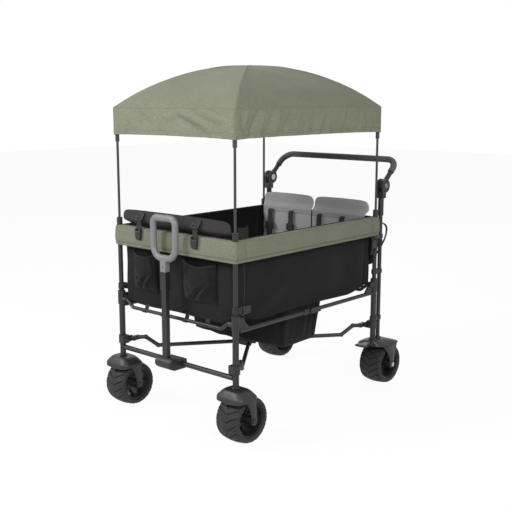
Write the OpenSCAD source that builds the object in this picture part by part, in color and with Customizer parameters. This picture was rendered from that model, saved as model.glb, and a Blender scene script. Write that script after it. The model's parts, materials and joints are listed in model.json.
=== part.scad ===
// Stroller wagon: a four-post folding frame that carries a fabric tub, two facing seats and a canopy.
// Millimetres. +X points to the pull handle, +Y to the left, +Z up; the ground is z = 0.

/* [Frame] */
// Distance between the front and rear post axes
post_span_x = 800; // [760:5:860]
// Distance between the left and right post axes
post_span_y = 580; // [560:5:620]
// Outer diameter of the lower legs
leg_d = 22; // [20:0.5:25]
// Outer diameter of the upper posts
post_d = 17; // [15:0.5:18]
// Wall of the steel tubes
tube_wall = 1.5; // [1:0.1:2]
// Height of the side rails when open
rail_z = 386; // [376:1:401]
// Height of the base braces when open
brace_z = 221; // [219:1:226]
// Drop of the middle pins below the leg pivots, which locks the open frame
fold_drop = 35; // [30:1:40]
// Angle that each rail and brace turns when folded
fold_angle = 74; // [70:0.5:75]
// Diameter of the side rails and braces
rail_d = 15; // [12:0.5:16]
// Diameter of the floor bars at the front and rear
bar_d = 13; // [11:0.5:15]
// Diameter of the front crossbar
crossbar_d = 18; // [16:0.5:20]

/* [Wheels] */
// Diameter of all four tyres
wheel_d = 165; // [157:1:172]
// Width of a tyre
tyre_w = 100; // [90:1:106]
// Diameter of the rim inside the tyre
rim_seat_d = 118; // [108:1:124]
// Distance of the caster axle behind its stem
caster_trail = 28; // [20:1:36]
// Distance of the rear axle behind the rear legs
rear_axle_back = 74; // [70:1:84]
// Distance of the rear wheels inside the legs
rear_wheel_in = 12; // [6:1:16]
// Number of curved spokes
spoke_count = 10; // [6:1:14]
// Diameter of the axle bolts
axle_d = 10; // [8:0.5:12]
// Thickness of the stamped forks
fork_t = 4; // [3:0.5:5]

/* [Tub] */
// Height of the top of the rim
rim_top_z = 689; // [666:1:706]
// Height of the rim band
rim_h = 73; // [60:1:85]
// Thickness of the fabric panels
panel_t = 5; // [4:0.5:6]
// Height of the benches
bench_z = 418; // [414:1:426]
// Depth of the footwell below the benches
well_depth = 170; // [150:1:172]
// Front edge of the footwell, ahead of the middle
well_front_x = 105; // [90:1:115]
// Rear edge of the footwell, behind the middle
well_rear_x = 125; // [110:1:140]

/* [Seats] */
// Height of the tops of the seat backs
seat_back_z = 751; // [731:1:761]
// Thickness of the seat backs
seat_back_t = 28; // [22:1:30]
// Thickness of the seat pads
seat_pad_t = 26; // [20:1:32]
// Depth of the seat pads, front to back
seat_pad_l = 205; // [180:1:215]

/* [Canopy] */
// Height of the canopy peak
peak_z = 1262; // [1226:1:1296]
// Height of the roof's edge
roof_edge_z = 1112; // [1101:1:1136]
// Height of the skirt
skirt_h = 96; // [80:1:110]
// Thickness of the cover
cover_t = 2.5; // [2:0.1:4]
// Diameter of the canopy poles
pole_d = 9; // [8:0.5:11]

/* [Push handle] */
// Height of the push handle's hinges above the rim
hinge_above = 117; // [100:1:130]
// Length of the push handle's arms
arm_len = 138; // [125:1:150]
// Angle of the arms above level
arm_rise = 43.5; // [35:0.5:55]
// Diameter of the push bar
push_d = 19; // [17:0.5:21]
// Diameter of the foam grip
foam_d = 25; // [23:0.5:28]
// Diameter of the push uprights
upright_d = 16; // [15:0.5:18]

/* [Pull handle] */
// Height of the pull handle's pivot
pull_z = 232; // [228:1:238]
// Height of the pull handle's top
pull_top_z = 752; // [736:1:766]
// Width of the pull tube, side to side
pull_w = 24; // [22:0.5:27]
// Depth of the pull tube, front to back
pull_t = 16; // [14:0.5:18]
// Width of the ring grip
ring_w = 128; // [116:1:140]

/* [Hidden] */
$fn = 48;
// Gaps between pieces: sliding or turning, and fixed
run_gap = 0.3;
fit_gap = 0.15;
// Overrun of every cut
over = 1;

ax = post_span_x / 2;
by = post_span_y / 2;
wheel_r = wheel_d / 2;

// Fork crown, stem and the foot of the legs
fork_gap = 6;
stem_boss_h = 21;
stem_d = 12;
stem_up = 42;
washer_t = 5;
crown_z = wheel_d + fork_gap;
leg_z0 = crown_z + fork_t + stem_boss_h;

// Fold geometry: leg pivots, shared by rails and braces
pivot_in = 26;
rail_pivot_z = rail_z + fold_drop;
brace_pivot_z = brace_z + fold_drop;
px = ax - pivot_in;

// Corner sleeves
sleeve_wall = 3;
sleeve_d = leg_d + 2 * sleeve_wall;
sleeve_down = 30;
sleeve_up = 20;
leg_z1 = rail_pivot_z;
post_z0 = leg_z1 - sleeve_down;
cheek_t = 4;
tongue_t = 8;
cheek_in = tongue_t / 2 + run_gap;
cheek_out = cheek_in + cheek_t;
eye_d = 18;
lug_d = 20;
rail_pin_d = 6;
open_pin_gap = 0.5;
knuckle_block_l = 12;
knuckle_gap = 1;
knuckle_l = knuckle_block_l + lug_d / 2 / tan(90 - fold_angle) + knuckle_gap;
gusset_l = 42;
bar_boss_d = bar_d + 2 * sleeve_wall;
bar_boss_l = 28;
bar_boss_deep = 12;
bar_drop_z = 12;
bar_bend_y = 30;
bend_r = 16;

// Pole collars on the posts
collar_h = 26;
collar_wall_t = 2;
collar_d = post_d + 2 * collar_wall_t;

// Brace brackets, eyes and the hub
bracket_h = 30;
bracket_wall = 4;
lug_t = 6;
lug_y = 20;
brace_eye_w = 14;
brace_pin_d = 8;
brace_head_d = 13;
brace_head_t = 3;
brace_lug_d = 22;
brace_y = by - lug_y - run_gap - brace_eye_w / 2;
neck_l = 22;
neck_h = 16;
dogleg_shares = [0.08, 0.2];
hub_pin_d = 10;
hub_eye_d = 24;
hub_tongue_w = 18;
hub_cheek_w = 7;
hub_block_w = 66;
hub_block_l = 14;
hub_block_h = 18;
hub_reach = 45;
hub_arm_y = 25;

// Front crossbar
crossbar_up = 29;
crossbar_z = leg_z0 + crossbar_up;

// Rim and tub outlines
rim_out = 14;
rim_in = 14;
rim_corner_r = 12;
rim_skin = 5;
rim_roll_t = 10;
rim_return = 36;
tub_corner_r = 32;
tub_ix = ax - rim_in - run_gap;
tub_iy = by - rim_in - run_gap;
tub_top_drop = 3;
tub_bottom_z = rail_z + bar_d;
tub_return = 44;
corner_cut_w = 60;
corner_cut_h = 45;
floor_gap = 0.4;
floor_t = 12;
well_half_y = 246;
well_wall = 34;
well_sag = 8;
floor_nx = 28;
floor_ny = 18;

// Seats
seat_gap = 0.6;
seat_half_y = 262;
seat_back_corner_r = 30;
seat_notch = 8;
seam_depth = 5;
seam_w_share = 0.05;
lean_h = 24;
seam_shares = [0.42, 0.8];
edge_share = 0.35;
pad_half_y = 236;
strap_w = 24;
strap_t = 3;
slider_w = 34;
slider_h = 14;
slider_t = 7;
harness_y_shares = [-0.8, -0.42, 0.2, 0.62];
harness_h = 130;
harness_top_share = 0.74;
front_strap_y_shares = [-0.56, 0.42];
front_strap_drop = 42;
buckle_w = 30;
buckle_h = 26;
buckle_t = 8;

// Rear bag
bag_drop = 53;
bag_h = 168;
bag_z0 = rim_top_z - bag_drop - bag_h;
bag_half_y = 232;
bag_depth = 50;
bag_t = 4;
bag_loop_w = 30;

// Canopy
canopy_out = 14;
canopy_corner_r = 18;
skirt_flare = 5;
skirt_arc = 14;
fold_amp = 2;
folds_long = 9;
folds_short = 7;
cover_sides = 12;
cover_rings = 8;
skirt_rings = 3;
roof_sag_share = 0.04;
rib_d = 8;
rib_gap = 1.4;
rib_top_drop = 8;
socket_d = 15;
socket_h = 52;
pole_in = 44;
crown_hub_d = 40;
crown_hub_t = 12;
cover_gap = 1.2;
rib_ball_d = 11;
rib_ball_drop = 2;

// Push handle
hinge_z = rim_top_z + hinge_above;
upright_back = 35;
hinge_back = 45;
hinge_d = 54;
disc_d = 46;
disc_t = 12;
hinge_cheek_t = 7;
hinge_outer_t = 9;
hinge_pin_d = 10;
hinge_ring_d = 24;
hinge_ring_t = 2.5;
button_d = 20;
button_h = 5;
button_out = 2.7;
recess_deep = 5.5;
boot_w = 24;
boot_d = 22;
boot_h = 68;
boot_gap = 1;
neck_w = 18;
arm_tube_r = 29;
push_bend_r = 48;
foam_start = 72;
clamp_h = 16;
clamp_above = 40;
clamp_zs = [
    brace_pivot_z + bracket_h / 2 + run_gap, rail_pivot_z + clamp_above,
    rim_top_z - rim_h - clamp_h - run_gap
];
clamp_wall = 3;
upright_z0 = crown_z + fork_t;
upright_boss_h = 24;

// Rear fork and brake
fork_side_gap = 5;
fork_in = tyre_w / 2 + fork_side_gap;
fork_out = fork_in + fork_t;
axle_eye_r = 13;
bolt_head_d = 18;
bolt_head_t = 5;
lip_out = 4;
lip_drop = 14;
lip_half = 41;
crown_chamfer = 22;
crown_seat = 23;
crown_rise = 11;
arm_scallop_r = 120;
crown_front = 38;
crown_back = 50;
boss_d = 32;
spigot_h = 20;
rear_front_x = 16;
rear_back_x = 44;
pedal_pivot_x = 26;
pedal_pivot_drop = 12;
pedal_pivot_z = leg_z0 - pedal_pivot_drop;
pedal_eye_d = 14;
pedal_eye_w = 26;
pedal_pin_d = 6;
pedal_l = 62;
pedal_pad_l = 26;
pedal_pad_w = 44;
pedal_t = 8;
ear_t = 4;

// Wheels
hub_d = 30;
rim_wall = 4;
rim_half_w = 41;
spoke_t = 5;
spoke_h = 18;
spoke_r = 30;
tread_flat_share = 0.42;
tread_drop = 4;
shoulder_drop = 10;

// Pull handle
pull_ahead = 45;
barrel_d = 42;
barrel_w = 65;
pull_pin_d = 12;
ear_d = 40;
pull_ear_t = 6;
clamp_block = 7;
pull_wall = 2;
tube_top_z = 493;
collar_z = 556;
collar_wall = 2;
inner_l = 275;
ring_bottom_z = 594;
ring_rim = 19;
ring_top_r = 22;
ring_low_r = 38;
ring_neck_w = 26;
ring_flare_w = 30;
ring_flare_h = 20;
snap_d = 6;

// Shift that puts the origin below the middle of the whole wagon
front_reach = ax + pull_ahead + barrel_d / 2;
rear_reach = ax + hinge_back + arm_len * cos(arm_rise) + foam_d / 2;
mid_x = (rear_reach - front_reach) / 2;

// Helpers

// Round bar between two points
module rod(a, b, d) {
    v = b - a;
    l = norm(v);
    translate(a) rotate([0, acos(v[2] / l), atan2(v[1], v[0])]) cylinder(h = l, d = d);
}

// Bend at point b between the directions from a and to c, with radius r on the axis
module bend(a, b, c, d, r) {
    u = (b - a) / norm(b - a);
    v = (c - b) / norm(c - b);
    turn = acos(u * v);
    n = cross(u, v) / norm(cross(u, v));
    w = cross(n, u);
    o = b - u * r * tan(turn / 2) + w * r;
    multmatrix([
        [-w[0], u[0], n[0], o[0]],
        [-w[1], u[1], n[1], o[1]],
        [-w[2], u[2], n[2], o[2]]
    ]) rotate_extrude(angle = turn) translate([r, 0]) circle(d = d);
}

// Length that a bend takes from each of the straights that it joins
function setback(a, b, c, r) = r * tan(acos((b - a) * (c - b) / norm(b - a) / norm(c - b)) / 2);

// Round bar along a list of points, with a true bend at each inner one
module bent_bar(points, d, r) {
    last = len(points) - 1;
    for (i = [0 : last - 1]) {
        a = points[i];
        b = points[i + 1];
        u = (b - a) / norm(b - a);
        start = i == 0 ? 0 : setback(points[i - 1], a, b, r);
        end = i == last - 1 ? 0 : setback(a, b, points[i + 2], r);
        rod(a + u * start, b - u * end, d);
    }
    for (i = [1 : last - 1]) bend(points[i - 1], points[i], points[i + 1], d, r);
}

// Upright tube between two heights
module tube(d, z0, z1, wall) {
    translate([0, 0, z0]) difference() {
        cylinder(h = z1 - z0, d = d);
        translate([0, 0, -over]) cylinder(h = z1 - z0 + 2 * over, d = d - 2 * wall);
    }
}

// Cylinder along Y between two places
module cross_pin(x, z, y0, y1, d) {
    translate([x, y0, z]) rotate([-90, 0, 0]) cylinder(h = y1 - y0, d = d);
}

// Block between two corners
module block(a, b) {
    translate(a) cube(b - a);
}

// Profile in X and Z, extruded along Y between two places
module side_plate(y0, y1) {
    translate([0, y1, 0]) rotate([90, 0, 0]) linear_extrude(height = y1 - y0) children();
}

module mirror_y(s) {
    if (s < 0) mirror([0, 1, 0]) children();
    else children();
}

module mirror_x(s) {
    if (s < 0) mirror([1, 0, 0]) children();
    else children();
}

module both() {
    children();
    mirror([0, 1, 0]) children();
}

module placed() {
    translate([mid_x, 0, 0]) children();
}

// Rectangle with round corners, given by its half sizes
module round_rect(hx, hy, r) {
    square([2 * (hx - r), 2 * hy], center = true);
    square([2 * hx, 2 * (hy - r)], center = true);
    for (sx = [-1, 1], sy = [-1, 1]) translate([sx * (hx - r), sy * (hy - r)]) circle(r = r);
}

// Wall of one thickness inside a round rectangle
module ring_2d(hx, hy, r, wall) {
    difference() {
        round_rect(hx, hy, r);
        round_rect(hx - wall, hy - wall, r - wall);
    }
}

// Closed solid between two grids of points that share one outline
function grid_faces(nu, nv, base, flip) = [
    for (i = [0 : nu - 1], j = [0 : nv - 1], k = [0, 1])
        let (
            a = base + i * (nv + 1) + j,
            b = a + nv + 1,
            t = k == 0 ? [a, b, b + 1] : [a, b + 1, a + 1]
        )
        flip ? [t[2], t[1], t[0]] : t
];
function ring_index(nu, nv) = [
    for (i = [0 : nu - 1]) i * (nv + 1),
    for (j = [0 : nv - 1]) nu * (nv + 1) + j,
    for (i = [nu : -1 : 1]) i * (nv + 1) + nv,
    for (j = [nv : -1 : 1]) j
];
function edge_faces(ring, base, flip) = [
    for (i = [0 : len(ring) - 1], k = [0, 1])
        let (
            a = ring[i],
            b = ring[(i + 1) % len(ring)],
            t = k == 0 ? [a, base + a, base + b] : [a, base + b, b]
        )
        flip ? [t[2], t[1], t[0]] : t
];
module two_sided(top, bottom, nu, nv) {
    n = (nu + 1) * (nv + 1);
    polyhedron(
        points = concat(top, bottom),
        faces = concat(
            grid_faces(nu, nv, 0, true),
            grid_faces(nu, nv, n, false),
            edge_faces(ring_index(nu, nv), n, true)
        )
    );
}

// Frame

module post_pair(x) {
    both() translate([x, by, 0]) {
        tube(leg_d, leg_z0, leg_z1, tube_wall);
        tube(post_d, post_z0, rim_top_z, tube_wall);
    }
}

// Clevis cheeks around a pivot, reaching back to x = 0
module sleeve_lugs() {
    for (s = [-1, 1]) mirror_y(s) {
        cross_pin(-pivot_in, rail_pivot_z, cheek_in, cheek_out, lug_d);
        block([-pivot_in, cheek_in, rail_pivot_z - lug_d / 2], [0, cheek_out, rail_pivot_z + lug_d / 2]);
    }
    cross_pin(-pivot_in, rail_pivot_z, -cheek_out, cheek_out, rail_pin_d);
}

// Corner sleeve on a post at the front left, with the rail's clevis and the floor bar's socket
module corner_sleeve() {
    boss_z = rail_pivot_z - bar_drop_z;
    difference() {
        union() {
            translate([0, 0, rail_pivot_z - sleeve_down]) cylinder(h = sleeve_down + sleeve_up, d = sleeve_d);
            sleeve_lugs();
            cross_pin(0, boss_z, -bar_boss_l, 0, bar_boss_d);
        }
        translate([0, 0, post_z0 - over])
            cylinder(h = leg_z1 - post_z0 + over + fit_gap, d = leg_d + 2 * fit_gap);
        translate([0, 0, leg_z1]) cylinder(h = sleeve_up + over, d = post_d + 2 * fit_gap);
        cross_pin(0, boss_z, -bar_boss_l - over, -bar_boss_l + bar_boss_deep, bar_d + 2 * fit_gap);
    }
}

module pole_collar() {
    difference() {
        translate([0, 0, rim_top_z + fit_gap]) cylinder(h = collar_h, d = collar_d);
        translate([0, 0, rim_top_z]) cylinder(h = collar_h + 2 * over, d = pole_d + 2 * run_gap);
    }
}

// Plug in the foot of a leg that guides the caster's stem
module stem_plug() {
    tube(leg_d - 2 * tube_wall - 2 * fit_gap, leg_z0, leg_z0 + stem_up,
        (leg_d - 2 * tube_wall - stem_d) / 2 - fit_gap - run_gap);
}

module brace_bracket() {
    z0 = brace_pivot_z - bracket_h / 2;
    z1 = brace_pivot_z + bracket_h / 2;
    collar = leg_d + 2 * bracket_wall;
    head_y = -lug_y - brace_eye_w - 2 * run_gap;
    difference() {
        union() {
            translate([0, 0, z0]) cylinder(h = bracket_h, d = collar);
            block([-collar / 2, -lug_y, z0], [collar / 2, 0, z1]);
            block([-pivot_in, -lug_y, brace_pivot_z - brace_lug_d / 2],
                [0, -lug_y + lug_t, brace_pivot_z + brace_lug_d / 2]);
            cross_pin(-pivot_in, brace_pivot_z, -lug_y, -lug_y + lug_t, brace_lug_d);
            cross_pin(-pivot_in, brace_pivot_z, head_y - brace_head_t, -lug_y + lug_t, brace_pin_d);
            cross_pin(-pivot_in, brace_pivot_z, head_y - brace_head_t, head_y, brace_head_d);
        }
        translate([0, 0, z0 - over]) cylinder(h = bracket_h + 2 * over, d = leg_d + 2 * fit_gap);
    }
}

module floor_bar() {
    end_y = by - bar_boss_l + bar_boss_deep - fit_gap;
    bend_y = by - bar_boss_l - bar_d / 2;
    low_y = bend_y - bar_bend_y;
    high_z = rail_pivot_z - bar_drop_z;
    bent_bar([
        [0, -end_y, high_z], [0, -bend_y, high_z], [0, -low_y, rail_z],
        [0, low_y, rail_z], [0, bend_y, high_z], [0, end_y, high_z]
    ], bar_d, bend_r);
}

module rear_posts() { color("dimgray") placed() post_pair(-ax); }
module front_posts() { color("dimgray") placed() post_pair(ax); }

module rear_sleeves() {
    color("black") placed() both() translate([-ax, by, 0]) {
        mirror([1, 0, 0]) corner_sleeve();
        pole_collar();
    }
}

module front_sleeves() {
    color("black") placed() both() translate([ax, by, 0]) {
        corner_sleeve();
        pole_collar();
        stem_plug();
    }
}

module rear_brackets() {
    color("black") placed() both() translate([-ax, by, 0]) mirror([1, 0, 0]) brace_bracket();
}
module front_brackets() { color("black") placed() both() translate([ax, by, 0]) brace_bracket(); }
module rear_floor_bar() { color("dimgray") placed() translate([-ax, 0, 0]) floor_bar(); }
module front_floor_bar() { color("dimgray") placed() translate([ax, 0, 0]) floor_bar(); }

module front_crossbar() {
    end_y = by - leg_d / 2 - fit_gap;
    color("dimgray") placed() cross_pin(ax, crossbar_z, -end_y, end_y, crossbar_d);
}

// Folding base

// One arm of the rear brace on the left, from its leg eye to the hub block, with welded elbows
module brace_arm() {
    from = [-px + neck_l, brace_y];
    run = [-hub_reach, hub_arm_y] - from;
    l = norm(run);
    hw = brace_eye_w / 2;
    points = [
        [0, 0, brace_pivot_z], [l * dogleg_shares[0], 0, brace_pivot_z],
        [l * dogleg_shares[1], 0, brace_z], [l, 0, brace_z]
    ];
    translate([from[0], from[1], 0]) rotate([0, 0, atan2(run[1], run[0])]) {
        for (i = [0 : len(points) - 2]) rod(points[i], points[i + 1], rail_d);
        for (i = [1 : len(points) - 2]) translate(points[i]) sphere(d = eye_d);
    }
    difference() {
        union() {
            cross_pin(-px, brace_pivot_z, brace_y - hw, brace_y + hw, eye_d);
            block([-px, brace_y - hw, brace_pivot_z - neck_h / 2],
                [-px + neck_l + hw, brace_y + hw, brace_pivot_z + neck_h / 2]);
        }
        cross_pin(-px, brace_pivot_z, brace_y - brace_eye_w, brace_y + brace_eye_w, brace_pin_d + 2 * fit_gap);
    }
}

module brace_block() {
    block([-hub_reach - hub_block_l / 2, -hub_block_w / 2, brace_z - hub_block_h / 2],
        [-hub_reach + hub_block_l / 2, hub_block_w / 2, brace_z + hub_block_h / 2]);
}

// Flat link from the hub pin to the hub block between two places along Y
module hub_link(y0, y1) {
    cross_pin(0, brace_z, y0, y1, hub_eye_d);
    block([-hub_reach, y0, brace_z - hub_block_h / 2], [0, y1, brace_z + hub_block_h / 2]);
}

module base_rear_brace() {
    color("dimgray") placed() {
        difference() {
            union() {
                hub_link(-hub_tongue_w / 2, hub_tongue_w / 2);
                brace_block();
                both() brace_arm();
            }
            cross_pin(0, brace_z, -hub_tongue_w, hub_tongue_w, hub_pin_d + 2 * fit_gap);
        }
    }
}

module base_front_brace() {
    inner = hub_tongue_w / 2 + run_gap;
    outer = inner + hub_cheek_w;
    color("dimgray") placed() mirror([1, 0, 0]) {
        both() hub_link(inner, outer);
        brace_block();
        both() brace_arm();
        cross_pin(0, brace_z, -outer, outer, hub_pin_d);
    }
}

// Rear half of a rail, drawn at y = 0: a gusset hangs it below the leg pivot, and it ends before the middle knuckle
module rail_half(pin_gap) {
    end_x = -px - eye_d / 2;
    difference() {
        union() {
            cross_pin(-px, rail_pivot_z, -tongue_t / 2, tongue_t / 2, eye_d);
            side_plate(-tongue_t / 2, tongue_t / 2) polygon([
                [end_x, rail_pivot_z], [end_x, rail_z], [-px + gusset_l, rail_z], [-px + eye_d / 2, rail_pivot_z]
            ]);
            rod([end_x, 0, rail_z], [-knuckle_l + knuckle_block_l / 2, 0, rail_z], rail_d);
        }
        cross_pin(-px, rail_pivot_z, -tongue_t, tongue_t, rail_pin_d + 2 * pin_gap);
    }
}

module rail_block() {
    block([-knuckle_l, -cheek_out, rail_z - lug_d / 2],
        [-knuckle_l + knuckle_block_l, cheek_out, rail_z + lug_d / 2]);
}

module rail_rear(s) {
    color("dimgray") placed() translate([0, s * by, 0]) {
        rail_half(fit_gap);
        rail_block();
        for (k = [-1, 1]) mirror_y(k) {
            cross_pin(0, rail_z, cheek_in, cheek_out, lug_d);
            block([-knuckle_l, cheek_in, rail_z - lug_d / 2], [0, cheek_out, rail_z + lug_d / 2]);
        }
        cross_pin(0, rail_z, -cheek_out, cheek_out, rail_pin_d);
    }
}

module rail_front(s) {
    color("dimgray") placed() translate([0, s * by, 0]) mirror([1, 0, 0]) {
        rail_half(open_pin_gap);
        rail_block();
        difference() {
            union() {
                cross_pin(0, rail_z, -tongue_t / 2, tongue_t / 2, eye_d);
                block([-knuckle_l, -tongue_t / 2, rail_z - eye_d / 2], [0, tongue_t / 2, rail_z + eye_d / 2]);
            }
            cross_pin(0, rail_z, -tongue_t, tongue_t, rail_pin_d + 2 * fit_gap);
        }
    }
}

module side_rail_left_rear() { rail_rear(1); }
module side_rail_right_rear() { rail_rear(-1); }
module side_rail_left_front() { rail_front(1); }
module side_rail_right_front() { rail_front(-1); }

// Wheels, forks and brakes

// Tyre around Z, wide and square with rolled shoulders
module tyre() {
    hw = tyre_w / 2;
    seat = rim_seat_d / 2 + fit_gap;
    flat = hw * tread_flat_share;
    color("black") rotate([90, 0, 0]) rotate_extrude() polygon([
        [seat, -rim_half_w], [seat + shoulder_drop, -hw], [wheel_r - shoulder_drop, -hw],
        [wheel_r - tread_drop, -hw + shoulder_drop], [wheel_r, -flat], [wheel_r, flat],
        [wheel_r - tread_drop, hw - shoulder_drop], [wheel_r - shoulder_drop, hw],
        [seat + shoulder_drop, hw], [seat, rim_half_w]
    ]);
}

// Dished rim around Z: a barrel, a long hub and curved spokes between them
module wheel_rim() {
    r = rim_seat_d / 2;
    hub_half = fork_in - run_gap;
    inner = hub_d / 2 - spoke_t;
    reach = r - rim_wall / 2 - inner;
    half_angle = asin(reach / 2 / spoke_r);
    rise = spoke_r * cos(half_angle);
    color("black") rotate([90, 0, 0]) {
        rotate_extrude() polygon([
            [r - rim_wall, -rim_half_w], [r, -rim_half_w], [r, rim_half_w], [r - rim_wall, rim_half_w]
        ]);
        difference() {
            union() {
                translate([0, 0, -hub_half]) cylinder(h = 2 * hub_half, d = hub_d);
                for (i = [0 : spoke_count - 1])
                    rotate([0, 0, i * 360 / spoke_count])
                        translate([inner + reach / 2, -rise, -spoke_h / 2])
                            rotate([0, 0, 90 - half_angle])
                                rotate_extrude(angle = 2 * half_angle)
                                    translate([spoke_r - spoke_t / 2, 0]) square([spoke_t, spoke_h]);
            }
            translate([0, 0, -hub_half - over])
                cylinder(h = 2 * (hub_half + over), d = axle_d + 2 * fit_gap);
        }
    }
}

// Bolt with a head at each end, along Y
module axle_bolt() {
    end_y = fork_out + fit_gap;
    cross_pin(0, wheel_r, -end_y - bolt_head_t, end_y + bolt_head_t, axle_d);
    for (s = [-1, 1]) mirror_y(s) cross_pin(0, wheel_r, end_y, end_y + bolt_head_t, bolt_head_d);
}

// Centre of a circle of radius r through a and b, to the right of the way from a to b
function circle_centre(a, b, r) =
    let (
        d = b - a,
        l = norm(d),
        h = sqrt(r * r - l * l / 4)
    )
    (a + b) / 2 + [d[1], -d[0]] / l * h;

// Outline of a fork's arm: from the crown down to the axle eye at the origin of X, scalloped in front
module arm_outline(front_x, back_x) {
    eye = [axle_eye_r, wheel_r];
    shoulder = [front_x, crown_z - fork_gap];
    difference() {
        polygon([
            [back_x, crown_z + fork_t], [back_x, crown_z - fork_t], [-axle_eye_r, wheel_r],
            eye, shoulder, [front_x, crown_z + fork_t]
        ]);
        translate(circle_centre(eye, shoulder, arm_scallop_r)) circle(r = arm_scallop_r);
    }
    translate([0, wheel_r]) circle(r = axle_eye_r);
}

module fork_arms(front_x, back_x) {
    both() difference() {
        side_plate(fork_in, fork_out) arm_outline(front_x, back_x);
        cross_pin(0, wheel_r, fork_in - over, fork_out + over, axle_d + 2 * fit_gap);
    }
}

// Plan of the caster's crown: full width at the arms, with corners cut to the lip
module crown_plan(inset) {
    front = crown_front - inset;
    side = fork_out - inset;
    polygon([
        [-crown_back + inset, -side], [front - crown_chamfer, -side], [front, -lip_half + inset],
        [front, lip_half - inset], [front - crown_chamfer, side], [-crown_back + inset, side]
    ]);
}

module crown_form(inset, z) {
    hull() {
        translate([0, 0, z]) linear_extrude(height = fork_t) crown_plan(inset);
        translate([0, 0, z + crown_rise]) linear_extrude(height = fork_t)
            square(2 * (crown_seat - inset), center = true);
    }
}

// Front caster with its stem on the Z axis, trailing to -X: a pressed crown, a lip and two arms
module caster_fork() {
    front = caster_trail + crown_front - crown_chamfer;
    color("dimgray") {
        translate([-caster_trail, 0, 0]) fork_arms(front, -crown_back + caster_trail);
        difference() {
            crown_form(0, crown_z);
            crown_form(fork_t, crown_z - fork_t);
        }
        side_plate(-lip_half, lip_half) polygon([
            [crown_front - fork_t, crown_z + fork_t], [crown_front, crown_z + fork_t],
            [crown_front + lip_out, crown_z - lip_drop], [crown_front + lip_out - fork_t, crown_z - lip_drop]
        ]);
        translate([0, 0, crown_z + fork_t]) cylinder(h = stem_boss_h - washer_t, d1 = boss_d, d2 = leg_d);
        cylinder_stem();
        translate([0, 0, leg_z0 - washer_t + fit_gap])
            tube(leg_d + 2 * sleeve_wall, 0, washer_t - fit_gap - run_gap,
                leg_d / 2 + sleeve_wall - stem_d / 2 - fit_gap);
        translate([-caster_trail, 0, 0]) axle_bolt();
    }
}

module cylinder_stem() {
    translate([0, 0, crown_z + fork_t]) cylinder(h = stem_boss_h + stem_up, d = stem_d);
}

module rear_fork() {
    front = rear_axle_back + rear_front_x;
    difference() {
        union() {
            fork_arms(rear_front_x + rear_back_x, -rear_back_x);
            block([-rear_back_x, -fork_out, crown_z], [front, fork_out, crown_z + fork_t]);
            translate([rear_axle_back, rear_wheel_in, crown_z + fork_t]) {
                cylinder(h = stem_boss_h, d = boss_d);
                cylinder(h = stem_boss_h + spigot_h, d = leg_d - 2 * tube_wall - 2 * fit_gap);
            }
            translate([rear_axle_back - upright_back, rear_wheel_in, crown_z + fork_t])
                cylinder(h = upright_boss_h, d = upright_d + 2 * sleeve_wall);
            for (s = [-1, 1]) translate([0, rear_wheel_in, 0]) mirror_y(s) pedal_ear();
        }
        translate([rear_axle_back - upright_back, rear_wheel_in, upright_z0])
            cylinder(h = upright_boss_h + over, d = upright_d + 2 * fit_gap);
    }
}

// Ear of the brake pedal's hinge, with half of its pin
module pedal_ear() {
    y0 = pedal_eye_w / 2 + run_gap;
    x = rear_axle_back + pedal_pivot_x;
    cross_pin(x, pedal_pivot_z, y0, y0 + ear_t, pedal_eye_d);
    block([rear_axle_back, y0, crown_z], [x, y0 + ear_t, pedal_pivot_z + pedal_eye_d / 2]);
    cross_pin(x, pedal_pivot_z, 0, y0 + ear_t, pedal_pin_d);
}

module rear_forks() {
    color("dimgray") placed() both() translate([-ax - rear_axle_back, by - rear_wheel_in, 0]) rear_fork();
}

module rear_axles() {
    color("silver") placed() both() translate([-ax - rear_axle_back, by - rear_wheel_in, 0]) axle_bolt();
}

module at_rear_wheel(s) {
    placed() translate([-ax - rear_axle_back, s * (by - rear_wheel_in), wheel_r]) children();
}
module at_front_wheel(s) {
    placed() translate([ax - caster_trail, s * by, wheel_r]) children();
}

module rear_tyre_left() { at_rear_wheel(1) tyre(); }
module rear_tyre_right() { at_rear_wheel(-1) tyre(); }
module rear_rim_left() { at_rear_wheel(1) wheel_rim(); }
module rear_rim_right() { at_rear_wheel(-1) wheel_rim(); }
module front_tyre_left() { at_front_wheel(1) tyre(); }
module front_tyre_right() { at_front_wheel(-1) tyre(); }
module front_rim_left() { at_front_wheel(1) wheel_rim(); }
module front_rim_right() { at_front_wheel(-1) wheel_rim(); }
module caster_fork_left() { placed() translate([ax, by, 0]) caster_fork(); }
module caster_fork_right() { placed() translate([ax, -by, 0]) caster_fork(); }

module brake_pedal(s) {
    x = -ax + pedal_pivot_x;
    hw = pedal_eye_w / 2;
    pad_x = x + pedal_l - pedal_pad_l;
    z0 = pedal_pivot_z - pedal_t / 2;
    color("black") placed() translate([0, s * by, 0]) difference() {
        union() {
            cross_pin(x, pedal_pivot_z, -hw, hw, pedal_eye_d);
            block([x, -hw, z0], [pad_x, hw, z0 + pedal_t]);
            block([pad_x, -pedal_pad_w / 2, z0], [x + pedal_l, pedal_pad_w / 2, z0 + pedal_t]);
        }
        cross_pin(x, pedal_pivot_z, -hw - over, hw + over, pedal_pin_d + 2 * fit_gap);
    }
}
module brake_pedal_left() { brake_pedal(1); }
module brake_pedal_right() { brake_pedal(-1); }

// Push handle

module push_uprights() {
    top = hinge_z - disc_d / 2 - boot_gap - boot_w;
    color("dimgray") placed() both() translate([-ax - upright_back, by, 0])
        tube(upright_d, upright_z0, top, tube_wall);
}

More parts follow.
